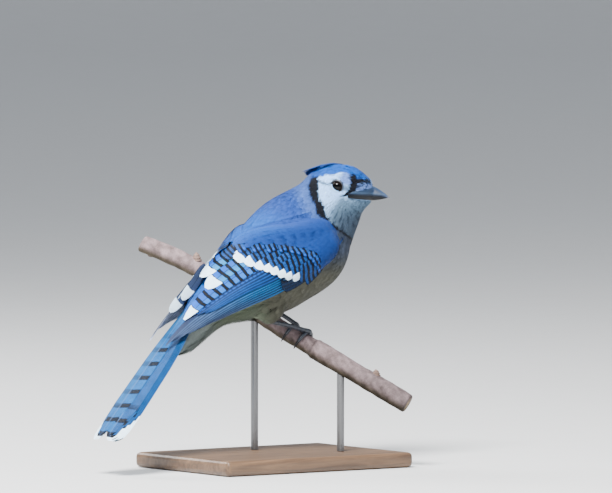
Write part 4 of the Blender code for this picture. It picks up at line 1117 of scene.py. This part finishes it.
def covering_places(draw):
    """Roots and ends of the plain coverts and of the shoulder's feathers, as (s, t)."""
    roots, ends = [], []
    for row in range(11):
        for i in range(17):
            t = -0.08 + 1.10 * (i + 0.5 * (row % 2)) / 16.5
            s = np.interp(t, *TOP_LINE) - 0.014 - 0.030 * row
            if s > -0.03:
                ends.append((s, t))
                roots.append((s - 0.10, t + 0.02))
    for row in range(8):
        for i in range(22):
            t = 0.90 + 0.055 * row
            s = 0.42 - 0.07 * (row % 2) * 0.3 - 0.52 * i / 21
            ends.append((s + 0.05 - 0.1 * (t - 0.9), t))
            roots.append((s - 0.07, t + 0.05))
    roots, ends = np.array(roots), np.array(ends)
    roots = roots + draw.normal(0, 0.004, roots.shape)
    return roots, ends + draw.normal(0, 0.004, ends.shape)


def make_covering(side, raised, flip, finish):
    """Small plain feathers from the wing's front edge and shoulder back over the roots of the barred ones."""
    draw = np.random.default_rng(60 if side == "right" else 61)
    for name, shape, copies, half, rises, thick, shading in (
            ("lesser_coverts", BODY_VANE, 1, 2.9, (0.5, 1.70), 0.05, 0.02),
            ("covert_barbs", STRAND, 9, 0.22, (0.6, 1.78), 0.05, 0.05)):
        roots, ends = covering_places(draw)
        roots = np.repeat(roots, copies, axis=0)
        ends = np.repeat(ends, copies, axis=0)
        if copies > 1:
            shift = draw.uniform(-1, 1, (len(roots), 2)) * (0.03, 0.06)
            roots, ends = roots + shift + (ends - roots) * 0.25, ends + shift * (1, 1)
            fits = ends[:, 0] < np.interp(ends[:, 1], *TOP_LINE)
            roots, ends = roots[fits], ends[fits]
        count = len(roots)
        s = roots[:, :1] + (ends - roots)[:, :1] * shape.along
        t = roots[:, 1:] + (ends - roots)[:, 1:] * shape.along
        step = 0.01
        along_s = (cover_sheet(s + step, t, raised) - cover_sheet(s - step, t, raised)) / (2 * step)
        along_t = (cover_sheet(s, t + step, raised) - cover_sheet(s, t - step, raised)) / (2 * step)
        out = unit(np.cross(along_s, along_t))
        width_t = half / np.maximum(np.linalg.norm(along_t, axis=-1), 18)
        place_t = t + shape.across * shape.width * width_t
        on_wing = smoothstep(1.16, 0.94, t) * smoothstep(-0.05, 0.04, s)
        height = rises[0] + (rises[1] - rises[0]) * shape.along**0.6
        height = (height + 0.5) * (0.2 + 0.8 * on_wing) - 0.5
        height = height - 0.04 * shape.across**2 + shape.face * thick / 2 + draw.uniform(-0.02, 0.02, (count, 1))
        points = cover_sheet(s, place_t, raised) + out * height[..., None]
        points = lifted(points, 0.1)
        points[..., 1] = np.maximum(points[..., 1], 0.2)
        mantle = MANTLE + (RUMP - MANTLE) * smoothstep(0.10, 0.35, ends[:, 0])[:, None]
        base = SHOULDER + (mantle - SHOULDER) * smoothstep(0.86, 1.16, ends[:, 1])[:, None]
        tint = base[:, None] * np.exp(draw.normal(0, shading, (count, 1, 1))) * (0.88 + 0.12 * shape.along)[None, :, None]
        flat = points.reshape(-1, 3) * flip
        vane = np.stack(np.broadcast_arrays(shape.along * 11.0, shape.across * half + np.zeros((count, 1))), axis=-1)
        patch = 0.0015
        bake = np.stack((0.1 + 0.8 * ends[:, :1] + shape.along * patch * 2,
                         0.1 + 0.6 * ends[:, 1:] + shape.across * patch), axis=-1)
        mesh_piece(name + "_" + side, flat, facing_out(flat, faces_of(shape, count), shape), finish, "wing_plumage",
                   ("wing_" + side,), bake=bake.reshape(-1, 2), vane=vane.reshape(-1, 2), tint=tint)


# The white tips of two far tertials, which show past the back: pixels of the photograph where each lies, from its
# hidden root to its tip
FAR_TIPS = (((206, 264), (196, 282), (183, 299)), ((198, 278), (186, 294), (171, 311)))
FAR_TIP_ASIDE = 0.9
FAR_TIP_HALF = 3.7


def make_far_tips(finish):
    """Two feathers on edge beside the middle line, against the left wing's inner side."""
    shape = LONG_VANE
    lines = np.array([[photo_place(x, y, FAR_TIP_ASIDE + 0.9 * k) for x, y in line] for k, line in enumerate(FAR_TIPS)])
    centres, ways = zip(*(smooth_line(line, shape.along) for line in lines))
    centres, ways = np.array(centres), np.array(ways)
    toward = np.array((0.0, -1.0, 0.0))
    sides = unit(np.cross(toward, ways))
    half = np.full(len(lines), FAR_TIP_HALF)
    points = flock(shape, centres, sides, np.broadcast_to(toward, ways.shape), half, 0.2)
    lengths = np.linalg.norm(lines[:, -1] - lines[:, 0], axis=1)[:, None]
    from_tip = (1 - shape.along) * lengths
    lay = np.stack(np.broadcast_arrays(from_tip, shape.across, 0.0), axis=-1)
    marks = np.broadcast_to((0.0, 5.0, 9.5), lay.shape)
    tint = np.broadcast_to(SLATE, lay.shape)
    vane = np.stack(np.broadcast_arrays(from_tip, shape.across * FAR_TIP_HALF), axis=-1)
    flat = points.reshape(-1, 3)
    mesh_piece("far_tips", flat, facing_out(flat, faces_of(shape, len(lines)), shape), finish, "wing_plumage",
               ("wing_left",), bake=atlas(shape, len(lines), 0, 1).reshape(-1, 2), vane=vane.reshape(-1, 2), tint=tint,
               lay=lay, marks=marks)


# Tail

TAIL_BLUE = shade(0, 112, 190)
TAIL_EDGE = shade(0, 88, 160)
TAIL_PALE = shade(0, 114, 186)
BAR_SPACING = 11.6


def make_tail(finish):
    way = unit(TAIL_TIP - TAIL_ROOT)
    up = np.cross((0, 1, 0), way)
    left = np.array((0.0, 1.0, 0.0))
    shape = TAIL_VANE
    draw = np.random.default_rng(70)
    for pair in range(6):
        made = []
        for sign in (-1, 1):
            length = np.linalg.norm(TAIL_TIP - TAIL_ROOT) - TAIL_INSIDE - TAIL_SHORTER[pair]
            run = length * shape.along
            from_tip = length - run
            layer = 1.2 - 0.36 * pair - (0.17 if sign < 0 else 0)
            half = 6.0 + 4.6 * smoothstep(0, 0.45, shape.along) - 0.5 * pair * shape.along
            half = half - max(4.2 - pair, 0) * smoothstep(26.0, 6.0, from_tip)
            side = sign * (0.5 + 0.45 * pair + (4.2 + 0.75 * pair) * shape.along**0.5)
            off = shape.across * shape.width * half
            rise = layer - 0.006 * (side + off) ** 2 + shape.face * 0.12 - 0.15 * shape.across * sign
            rise = rise + 0.12 * (np.abs(shape.across) < 0.1) * (shape.face > 0)
            points = TAIL_ROOT + way * run[:, None] + left * (side + off)[:, None] + up * rise[:, None]
            outer = smoothstep(-0.05, 0.1, shape.across * sign)
            pale = outer * smoothstep(16, 34, from_tip)
            tint = TAIL_BLUE + (TAIL_PALE - TAIL_BLUE) * (pale if sign > 0 else 0 * pale)[:, None]
            tint = tint + (TAIL_EDGE - tint) * (outer if sign < 0 else 0 * outer)[:, None]
            tint = tint * (0.85 + 0.2 * smoothstep(0.1, 0.6, shape.along))[:, None] * math.exp(draw.normal(0, 0.03))
            strength = (1 - outer) + 0.45 * outer if sign > 0 else 1 - outer
            strength = np.maximum(strength, smoothstep(30, 20, from_tip)) * (0.97 if pair < 3 else 0.5)
            strength = strength * smoothstep(90, 74, from_tip)
            white = (0.0, 0.0, 9.0, 13.0, 17.0, 20.0)[pair]
            lay = np.stack((from_tip, shape.across, 0 * run), axis=-1)
            marks = np.stack(np.broadcast_arrays(strength, BAR_SPACING + 0.3 * pair, white + 0.6), axis=-1)
            made.append((points, tint, lay, marks, np.stack((from_tip, off), axis=-1)))
        points, tint, lay, marks, vane = (np.concatenate(x) for x in zip(*made))
        mesh_piece("tail_pair_%d" % (pair + 1), points, facing_out(points, faces_of(shape, 2), shape), finish,
                   "tail_plumage", ("tail",), bake=atlas(shape, 2, 0, 1).reshape(-1, 2), vane=vane, tint=tint, lay=lay,
                   marks=marks)


# Bill and eyes

def bill_rings(lower):
    axes = turned(HEAD_YAW, BILL_PITCH)
    corner = head_point(GAPE[0], 0, GAPE[1])
    length = BILL_LENGTH - (1.2 if lower else 0)
    rings = []
    for x in np.concatenate((np.linspace(0, length - 3, 34), np.linspace(length - 2.7, length, 12))):
        if x <= BILL_FEATHERED:
            share = x / BILL_FEATHERED
            half = GAPE_HALF_WIDTH + (BILL_HALF_WIDTH - GAPE_HALF_WIDTH) * share**0.8
            height = BILL_HEIGHT * (0.12 + 0.88 * share)
            depth = BILL_DEPTH * (0.5 + 0.5 * share)
        else:
            share = (x - BILL_FEATHERED) / (length - BILL_FEATHERED)
            half = BILL_HALF_WIDTH * (1 - share**1.4) + 0.3
            height = BILL_HEIGHT * (1 - share**1.5) + 0.3
            depth = BILL_DEPTH * (1 - share**1.6) + 0.25
        tall = -depth if lower else height
        half = half * (0.88 if lower else 1)
        flat = -0.04 if lower else 0.04
        ring = []
        for j in range(25):
            angle = math.pi * j / 24
            rise = flat + (tall - flat) * math.sin(angle) ** 0.85
            pinch = 1 - 0.10 * math.sin(2 * angle) ** 2 * (0 if lower else 1)
            ring.append((x, half * math.cos(angle) * pinch, rise))
        rings.append([corner + np.array(p) @ axes for p in ring])
    return np.array(rings)


def make_bill(finish):
    left = turned(HEAD_YAW, BILL_PITCH)[1]
    for name, lower in (("bill_upper", False), ("bill_lower", True)):
        points, faces = tube(bill_rings(lower))
        x, y, z = np.moveaxis(bill_place(points), -1, 0)
        bare = smoothstep(2.8, 4.5, x) * smoothstep(BILL_FEATHERED + 6, BILL_FEATHERED + 1, x)
        bare = bare * (smoothstep(-BILL_DEPTH, -BILL_DEPTH * 0.6, z) if lower
                       else smoothstep(2.0, 1.0, z - 0.9 - 0.2 * (x - 3.0)))
        for _ in range(4):
            short = np.clip(0.3 - body_distance(points), 0, 2) * bare
            lean = np.maximum(np.abs(body_normal(points) @ left), 0.5)
            points = points + left * (np.sign(y) * short / lean)[:, None]
        f, s, h = np.moveaxis(head_place(points), -1, 0)
        if lower:
            tint = np.broadcast_to(shade(2, 8, 18), points.shape).copy()
        else:
            tint = np.broadcast_to(shade(34, 56, 86), points.shape).copy()
            tint = tint + (shade(2, 8, 18) - tint) * smoothstep(2.0, 0.4, z)[:, None]
            tint = tint + (shade(64, 92, 122) - tint) * (smoothstep(1.2, 2.0, z) * smoothstep(3.2, 2.2, z) * 0.5)[:, None]
            # Painted highlight: a lighter blue-grey along the upper mandible's ridge
            tint = tint + (shade(70, 98, 142) - tint) * (smoothstep(2.4, 0.2, np.abs(s)) * 0.6)[:, None]
            tint = tint + (shade(130, 130, 140) - tint) * (smoothstep(BILL_LENGTH - 2.5, BILL_LENGTH, x) * 0.7)[:, None]
        mesh_piece(name, points, faces, finish, "bill", (name,), tint=tint)


def eye_centre(side):
    """The ball sits a little way into the side of the head."""
    sign = 1 if side == "left" else -1
    reach = np.linspace(5, 20, 400)
    points = np.array([head_point(EYE_AT[0], sign * r, EYE_AT[1]) for r in reach])
    surface = np.interp(0, body_distance(points), reach)
    return head_point(EYE_AT[0], sign * (surface - EYE_SUNK), EYE_AT[1])


def make_eyes(glass, skin):
    for side in ("right", "left"):
        sign = 1 if side == "left" else -1
        forward, left, up = turned(HEAD_YAW, HEAD_PITCH)
        centre = eye_centre(side)
        axis = unit(left * sign + forward * 0.12)
        rings, tints = [], []
        other = unit(np.cross(axis, up))
        third = np.cross(axis, other)
        for angle in np.linspace(0.02, math.pi - 0.02, 40):
            bulge = EYE_RADIUS * (1 + 0.03 * smoothstep(0.9, 0.3, angle))
            around = np.arange(48) * math.tau / 48
            rings.append(centre + axis * math.cos(angle) * bulge
                         + (np.cos(around)[:, None] * other + np.sin(around)[:, None] * third) * math.sin(angle) * bulge)
            iris = shade(22, 11, 8)
            colour = iris + (shade(3, 3, 5) - iris) * smoothstep(0.58, 0.50, angle)
            colour = colour + (shade(5, 5, 6) - colour) * smoothstep(0.80, 0.88, angle)
            tints.append(np.broadcast_to(colour, (48, 3)))
        points, faces = tube(rings)
        tint = np.concatenate((tints[0], *tints, tints[-1]))
        mesh_piece("eye_" + side + "_ball", points, faces, glass, "eyes", ("eye_" + side,), tint=tint)
        rings, tints = [], []
        for k in range(56):
            around = math.tau * k / 56
            out = forward * math.cos(around) + up * math.sin(around)
            upper = max(math.sin(around), 0)
            middle = centre + left * sign * 2.5 + out * (4.12 - 0.2 * upper + 0.15 * abs(math.cos(around)))
            ring = []
            for j in range(12):
                a = math.tau * j / 12
                ring.append(middle + out * (0.62 + 0.1 * upper) * math.cos(a) + left * sign * 0.7 * math.sin(a))
                dark = smoothstep(0.45, -0.2, math.cos(a))
                pale = shade(60, 74, 100)
                tints.append(pale + (shade(8, 8, 12) - pale) * max(dark, 0.85 * upper * smoothstep(0.8, 0.2, math.cos(a))))
            rings.append(ring)
        rings = np.array(rings)
        n, m = 12, 56
        i, j = np.meshgrid(np.arange(m), np.arange(n), indexing="ij")
        faces = np.stack((i * n + j, i * n + (j + 1) % n, (i + 1) % m * n + (j + 1) % n, (i + 1) % m * n + j), axis=-1)
        points = rings.reshape(-1, 3)
        faces = outward(points - centre, faces.reshape(-1, 4))
        mesh_piece("lid_" + side, points, faces, skin, "eyes", ("eye_" + side,), tint=np.array(tints))


# Crest and bristles

def path_vanes(name, lines, ups, half, tint, finish, slot, shape, thick=0.12, seed=80):
    """Feathers along given curves, told as (count, marks, 3)."""
    draw = np.random.default_rng(seed)
    count = len(lines)
    centres, sides, tops = [], [], []
    for k in range(count):
        line, ways = smooth_line(lines[k], shape.along)
        side = unit(np.cross(ups[k], ways))
        centres.append(line)
        sides.append(side)
        tops.append(np.cross(ways, side))
    centres, sides, tops = np.array(centres), np.array(sides), np.array(tops)
    points = flock(shape, centres, sides, tops, np.asarray(half), thick, camber=0.15)
    colour = np.asarray(tint)[:, None] * np.exp(draw.normal(0, 0.10, (count, 1, 1)))
    colour = colour * (0.7 + 0.35 * shape.along)[None, :, None]
    reach = shape.along * np.linalg.norm(np.array(lines)[:, -1] - np.array(lines)[:, 0], axis=1)[:, None]
    vane = np.stack((reach, np.broadcast_to(shape.across, reach.shape) * 1.5), axis=-1)
    roots = centres[:, 0]
    f, s, h = np.moveaxis(head_place(roots), -1, 0)
    bake = np.stack((0.5 + s[:, None] / 60 + shape.across * 0.0015, 0.5 + f[:, None] / 60 + shape.along * 0.003), axis=-1)
    faces = faces_of(shape, count)
    flat = points.reshape(-1, 3)
    first = faces[:len(shape.faces)]
    faces = faces if np.array_equal(outward(flat - flat[first].mean((0, 1)), first), first) else faces[:, ::-1]
    return mesh_piece(name, flat, faces, finish, slot, ("head",), bake=bake.reshape(-1, 2), vane=vane.reshape(-1, 2),
                      tint=colour)


def make_crest(finish):
    draw = np.random.default_rng(81)
    up = turned(HEAD_YAW, HEAD_PITCH)[2]
    lines, half = [], []
    for row in range(8):
        share = row / 7
        for lane in np.linspace(-2.8, 2.8, 11):
            far = abs(lane)
            low = np.array(((-1.0, 2.4 * lane, 16.5), (-12.0, 2.0 * lane, 13.0), (-28.0 + 1.3 * far, 1.0 * lane, 5.6 - 0.4 * far)))
            high = np.array(((-7.0, 2.8 * lane, 14.0), (-14.0, 2.6 * lane, 10.0), (-22.0 + 0.5 * far, 2.2 * lane, 2.6)))
            marks = low + (high - low) * share + draw.normal(0, 0.25, (3, 3)) * ((0,), (0.5,), (1,))
            root = set_on_body(head_point(*marks[0])[None], -0.5)[0]
            middle = lifted(head_point(*marks[1])[None], 0.45)[0]
            lines.append((root, middle, head_point(*marks[2])))
            half.append(1.5 + 0.3 * draw.uniform(-1, 1))
    lines = np.array(lines)
    tint = CROWN + (CREST - CROWN) * draw.uniform(0.3, 1.0, (len(lines), 1))
    path_vanes("crest", lines, np.broadcast_to(up, (len(lines), 3)), half, tint, finish, "head_plumage", BODY_VANE)


def perch_radius(along):
    """The twig's radius, even under the feet and a little wavy past them."""
    radius = PERCH_RADIUS + (PERCH_THICK_RADIUS - PERCH_RADIUS) * smoothstep(*PERCH_KNOT, along)
    if abs(along) <= 16:
        return radius
    return radius * (1 + 0.03 * math.sin(along / 9.0) - 0.0006 * along * (1 if along > 0 else 0.3))


def make_bristles(finish):
    """Small stiff feathers that point forward over the nostrils."""
    draw = np.random.default_rng(82)
    up = turned(HEAD_YAW, HEAD_PITCH)[2]
    lines, half, tint = [], [], []
    for sign in (-1, 1):
        for k in range(120):
            side = sign * draw.uniform(0.3, 6.4)
            rise = draw.uniform(1.6, 7.6) - 0.25 * abs(side)
            start = set_on_body(head_point(13.0 + draw.uniform(-1.5, 1.5), side * 1.15, rise)[None], -0.4)[0]
            end_forward = 20.0 + draw.uniform(-1.5, 1.8) - 0.35 * abs(side)
            end = head_point(end_forward, side * 0.80, rise * 0.80)
            mid = (start + end) / 2 + (body_normal(((start + end) / 2)[None])[0]) * 1.5
            lines.append((start, mid, end))
            half.append(0.34)
            tone = draw.uniform(0, 1)
            pale = shade(118, 160, 218) * (0.55 + 0.6 * tone) if tone > 0.3 else shade(34, 50, 80)
            # The lowest bristles are dark: painted shade along the tuft's lower edge, over the nostril
            tint.append(pale if rise > 2.4 else SMUDGE * 0.35)
    path_vanes("nasal_bristles", np.array(lines), np.broadcast_to(up, (len(lines), 3)), half, np.array(tint), finish,
               "head_plumage", SMALL_VANE, thick=0.08, seed=83)


# Legs

def perch_point(along, angle=0.0, radius=0.0):
    """A point off the perch's middle line. The angle runs from its top over to the side away from the tail."""
    over = unit(np.cross((0, 0, 1), PERCH_WAY))
    if over[0] < 0:
        over = -over
    top = unit(np.cross(PERCH_WAY, over))
    if top[2] < 0:
        top = -top
    a = math.radians(angle)
    return PERCH_WAY * along + (top * math.cos(a) + over * math.sin(a)) * radius


def perch_bend(along):
    return PERCH_BOW * math.sin(math.pi * min(max((-along - 8) / 145, 0), 1)) ** 2


def swept(line, radii, sides, up=(0, 0, 1), flatten=None):
    """Rings along a line of points."""
    line = np.asarray(line)
    ways = unit(np.gradient(line, axis=0))
    rings = []
    for k, (point, way, radius) in enumerate(zip(line, ways, radii)):
        side = unit(np.cross(np.array(up, dtype=float), way))
        top = np.cross(way, side)
        a = np.arange(sides) * math.tau / sides
        ring = np.cos(a)[:, None] * top + np.sin(a)[:, None] * side
        swell = 1.0 if flatten is None else flatten(k, a)[:, None]
        rings.append(point + ring * radius * swell)
    return np.array(rings)


def make_foot(side, along, heel, skin, claw_finish):
    low, high = TOE_SPREAD[side]
    all_points, all_faces, tints = [], [], []
    claws_points, claws_faces = [], []
    reach = PERCH_RADIUS + 0.3 + TOE_RADIUS
    for spread, first, last, claw in ((low, -12, 88, 125), (0, -8, 100, 140), (high, -12, 88, 125),
                                      (-2.5, 14, -92, -150)):
        steps = 54
        share = np.linspace(0, 1, steps)
        angles = first + (last - first) * share
        line = [perch_point(along + spread * (a - first) / (claw - first), a, reach - 0.1 - 0.25 * s)
                for a, s in zip(angles, share)]
        scutes = 15
        wave = np.abs(np.sin(share * math.pi * scutes))
        joints = 1 + 0.12 * np.exp(-((share - 0.42) / 0.05) ** 2) + 0.10 * np.exp(-((share - 0.75) / 0.05) ** 2)
        radii = TOE_RADIUS * (0.98 - 0.22 * share) * (0.93 + 0.07 * wave) * joints
        radii[-3:] *= (0.95, 0.82, 0.6)
        points, faces = tube(swept(line, radii, 20, up=PERCH_WAY))
        start = sum(len(p) for p in all_points)
        all_points.append(points)
        all_faces.append(faces + start)
        groove = np.repeat(np.concatenate((wave[:1], wave, wave[-1:])), 20)[:, None]
        tints.append(shade(16, 22, 32) + (shade(48, 60, 78) - shade(16, 22, 32)) * groove * 0.8)
        arc = np.linspace(0, 1, 22)
        claw_angles = last - (last - first) * 0.02 + (claw - last) * arc
        lift = 0.7 * np.sin(arc * math.pi * 0.75)
        line = [perch_point(along + spread * (a - first) / (claw - first), a, reach - 0.35 + q)
                for a, q in zip(claw_angles, lift)]
        radii = 0.95 * (1 - arc) ** 0.8 + 0.06
        points, faces = tube(swept(line, radii, 14, up=PERCH_WAY))
        start = sum(len(p) for p in claws_points)
        claws_points.append(points)
        claws_faces.append(faces + start)
    ankle = perch_point(along, -14, reach + 0.6)
    marks = (np.array(heel) + (0, 0, 1.5), np.array(heel), np.array(heel) * 0.45 + ankle * 0.55 + (0, 0, 0.6), ankle,
             perch_point(along, -6, reach - 0.5))
    line, _ = smooth_line(marks, 60)
    share = np.linspace(0, 1, 60)
    wave = np.abs(np.sin(share * math.pi * 13))
    radii = TARSUS_RADIUS * (0.95 + 0.06 * wave) * (1 + 0.3 * np.exp(-((share - 0.95) / 0.08) ** 2)
                                                      + 0.25 * np.exp(-(share / 0.08) ** 2))
    points, faces = tube(swept(line, radii, 20))
    start = sum(len(p) for p in all_points)
    all_points.append(points)
    all_faces.append(faces + start)
    groove = np.repeat(np.concatenate((wave[:1], wave, wave[-1:])), 20)[:, None]
    tints.append(shade(16, 22, 32) + (shade(48, 60, 78) - shade(16, 22, 32)) * groove * 0.8)
    mesh_piece("leg_" + side, np.concatenate(all_points), np.concatenate(all_faces), skin, "leg_scales",
               ("foot_" + side,), tint=np.concatenate(tints))
    points = np.concatenate(claws_points)
    mesh_piece("claws_" + side, points, np.concatenate(claws_faces), claw_finish, "leg_scales", ("foot_" + side,),
               tint=np.broadcast_to(shade(18, 18, 24), points.shape))


# Perch and stand

def make_perch(finish):
    draw = np.random.default_rng(90)
    sides, steps = 56, 300
    a = np.arange(sides) * math.tau / sides
    waves = [(draw.integers(1, 9), draw.uniform(0.05, 0.9), draw.uniform(0, math.tau), draw.uniform(0.02, 0.06))
             for _ in range(26)]
    rings, tint = [], []
    side = unit(np.cross((0, 0, 1), PERCH_WAY))
    top = np.cross(PERCH_WAY, side)
    for x in np.linspace(*PERCH_ENDS, steps):
        rough = sum(h * np.sin(n * a + f * x + p) for n, f, p, h in waves)
        scar = 0.25 * math.exp(-((x - 12.5) / 0.9) ** 2) - 0.3 * math.exp(-((x - 10.6) / 0.5) ** 2)
        end = min(x - PERCH_ENDS[0], PERCH_ENDS[1] - x)
        edge = 0.6 * max(0, 1 - end / 0.8) ** 2
        r = perch_radius(x) + np.clip(rough, -0.3, 0.3) * 0.6 - 0.15 + scar - edge
        centre = perch_point(x) + np.array((0, 0, perch_bend(x)))
        rings.append(centre + (np.cos(a)[:, None] * top + np.sin(a)[:, None] * side) * r[:, None])
        up = np.cos(a) * (1 if top[2] > 0 else -1)
        base = shade(158, 142, 144) + (shade(88, 80, 62) - shade(158, 142, 144)) * smoothstep(0.1, -0.75, up)[:, None]
        ring = 1 - 0.5 * math.exp(-((x - 10.6) / 0.7) ** 2)
        # Painted light and shade: the bark is lighter toward the twig's upper end and darker toward its lower end
        base = base * np.interp(x, (PERCH_ENDS[0], 0, PERCH_ENDS[1]), (1.3, 1.0, 0.6))
        tint.append(base * (0.85 + 0.3 * smoothstep(-0.3, 0.3, rough))[:, None] * ring)
    points, faces = tube(rings)
    tint = np.concatenate((tint[0], *tint, tint[-1]))
    tint[:sides] = tint[-sides:] = shade(196, 172, 132)
    mesh_piece("bark", points, faces, finish, "bark", ("perch",), tint=tint)
    for k, (x, angle, height, radius) in enumerate(BUDS):
        out = unit(perch_point(0, angle, 1.0))
        lean = unit(out - 0.6 * PERCH_WAY)
        root = perch_point(x, angle, perch_radius(x) - 1.5) + np.array((0, 0, perch_bend(x)))
        share = np.linspace(0, 1, 30)
        line = root + lean * (share * (1.5 + height))[:, None]
        radii = radius * np.interp(share, (0, 0.35, 0.6, 0.85, 1), (1.25, 1.05, 0.85, 0.5, 0.08))
        radii = radii * (1 + 0.07 * np.sign(np.sin(share * 20)))
        points, faces = tube(swept(line, radii, 24, up=PERCH_WAY))
        tones = (0.75 + 0.35 * share)[:, None] * shade(168, 144, 132)
        tones = np.concatenate((tones[:1], tones, tones[-1:]))
        mesh_piece("bud_%d" % (k + 1), points, faces, finish, "bark", ("perch",), tint=np.repeat(tones, 24, axis=0))


def make_floor():
    """A round floor that curves up into a wall far behind."""
    bpy.ops.object.select_all(action="DESELECT")
    bpy.ops.mesh.primitive_circle_add(vertices=96, radius=9.0, fill_type="NGON", location=(0, 0, -0.0002))
    floor = bpy.context.object
    floor.name = floor.data.name = "floor"
    bpy.ops.object.mode_set(mode="EDIT")
    bpy.ops.mesh.select_all(action="SELECT")
    bpy.ops.mesh.region_to_loop()
    bend = 5.0
    for k in range(1, 13):
        a, b = (math.pi / 2 * q / 12 for q in (k - 1, k))
        radius_before, radius_after = 9.0 + bend * math.sin(a), 9.0 + bend * math.sin(b)
        bpy.ops.mesh.extrude_edges_move(TRANSFORM_OT_translate={"value": (0, 0, bend * (math.cos(a) - math.cos(b)))})
        grow = radius_after / radius_before
        bpy.ops.transform.resize(value=(grow, grow, 1))
    bpy.ops.mesh.extrude_edges_move(TRANSFORM_OT_translate={"value": (0, 0, 6.0)})
    bpy.ops.mesh.select_all(action="SELECT")
    bpy.ops.mesh.normals_make_consistent(inside=True)
    bpy.ops.object.mode_set(mode="OBJECT")
    bpy.ops.object.shade_smooth_by_angle(angle=math.radians(20))
    made, tree, shader, node = new_material("floor", 0.85)
    place = node("ShaderNodeTexCoord").outputs["Object"]
    grain = node("ShaderNodeTexNoise", inputs={"Vector": place, "Scale": 30.0, "Detail": 4.0}).outputs["Fac"]
    light = math_node(node, "MULTIPLY_ADD", grain, 0.03, 0.6)
    tree.links.new(mixed(node, 1.0, (0.98, 0.99, 1.0, 1), light, "MULTIPLY"), shader.inputs["Base Color"])
    floor.data.materials.append(made)


def make_stand(wood, steel):
    for name in ("stand_rod_1", "stand_rod_2"):
        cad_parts[name].data.materials.clear()
        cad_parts[name].data.materials.append(steel)
    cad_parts["stand_base"].data.materials.clear()
    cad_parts["stand_base"].data.materials.append(wood)


# Floor, light and camera

def make_stage():
    make_floor()
    world = bpy.data.worlds.new("studio")
    bpy.context.scene.world = world
    world.use_nodes = True
    world.node_tree.nodes["Background"].inputs[0].default_value = (0.88, 0.93, 1.0, 1)
    world.node_tree.nodes["Background"].inputs[1].default_value = 0.85
    middle = Vector(GRIP) + Vector((0, 0, 0.03))
    for name, place, size, power, colour in (
            ("key", (-1.05, -0.75, 1.45), 0.6, 170.0, (1.0, 0.99, 0.97)),
            ("fill", (1.2, -1.1, 0.55), 1.2, 6.0, (0.9, 0.95, 1.0)),
            ("rim", (-0.5, 1.2, 1.0), 0.9, 34.0, (1.0, 1.0, 1.0))):
        light = bpy.data.lights.new(name, "AREA")
        light.energy, light.size, light.color = power, size, colour
        lamp = bpy.data.objects.new(name, light)
        lamp.location = middle + Vector(place)
        lamp.rotation_euler = Vector(place).to_track_quat("Z", "Y").to_euler()
        bpy.context.collection.objects.link(lamp)


def make_camera():
    a, e = math.radians(VIEW_AZIMUTH), math.radians(VIEW_ELEVATION)
    back = Vector((math.sin(a) * math.cos(e), -math.cos(a) * math.cos(e), math.sin(e)))
    right = Vector((math.cos(a), math.sin(a), 0))
    up = back.cross(right)
    camera = bpy.data.cameras.new("camera")
    camera.sensor_width = 36
    camera.lens = 36 * VIEW_DISTANCE / VIEW_WIDTH
    camera.clip_end = 50
    holder = bpy.data.objects.new("camera", camera)
    bpy.context.collection.objects.link(holder)
    holder.location = Vector(GRIP) + right * VIEW_OFFSET[0] + up * VIEW_OFFSET[1] + back * VIEW_DISTANCE
    holder.rotation_euler = back.to_track_quat("Z", "Y").to_euler()
    bpy.context.scene.camera = holder


def main():
    body = plumage_material("body_plumage")
    head = plumage_material("head_plumage", 0.6)
    quill = shade(8, 18, 36)
    flight = flight_material("flight_feathers", quill, 0.7, 0.75, bar_share=0.42)
    covert = flight_material("covert_feathers", quill, 0.5, 0.95, 0.46, 0.50)
    tail = flight_material("tail_feathers", shade(110, 150, 210), 0.6, 0.0, bar_share=0.33)
    horn = horn_material()
    scales = scale_material()
    make_skin(body)
    make_coats(body, head)
    make_undertail(body)
    for side in ("right", "left"):
        make_wing(side, flight, covert, body)
    make_far_tips(flight)
    make_tail(tail)
    make_bill(horn)
    make_eyes(eye_material(), scales)
    make_crest(head)
    make_bristles(head)
    for side, along, heel in FEET:
        make_foot(side, along, heel, scales, horn)
    make_perch(bark_material())
    make_stand(wood_material(), steel_material())
    make_stage()
    make_camera()


main()
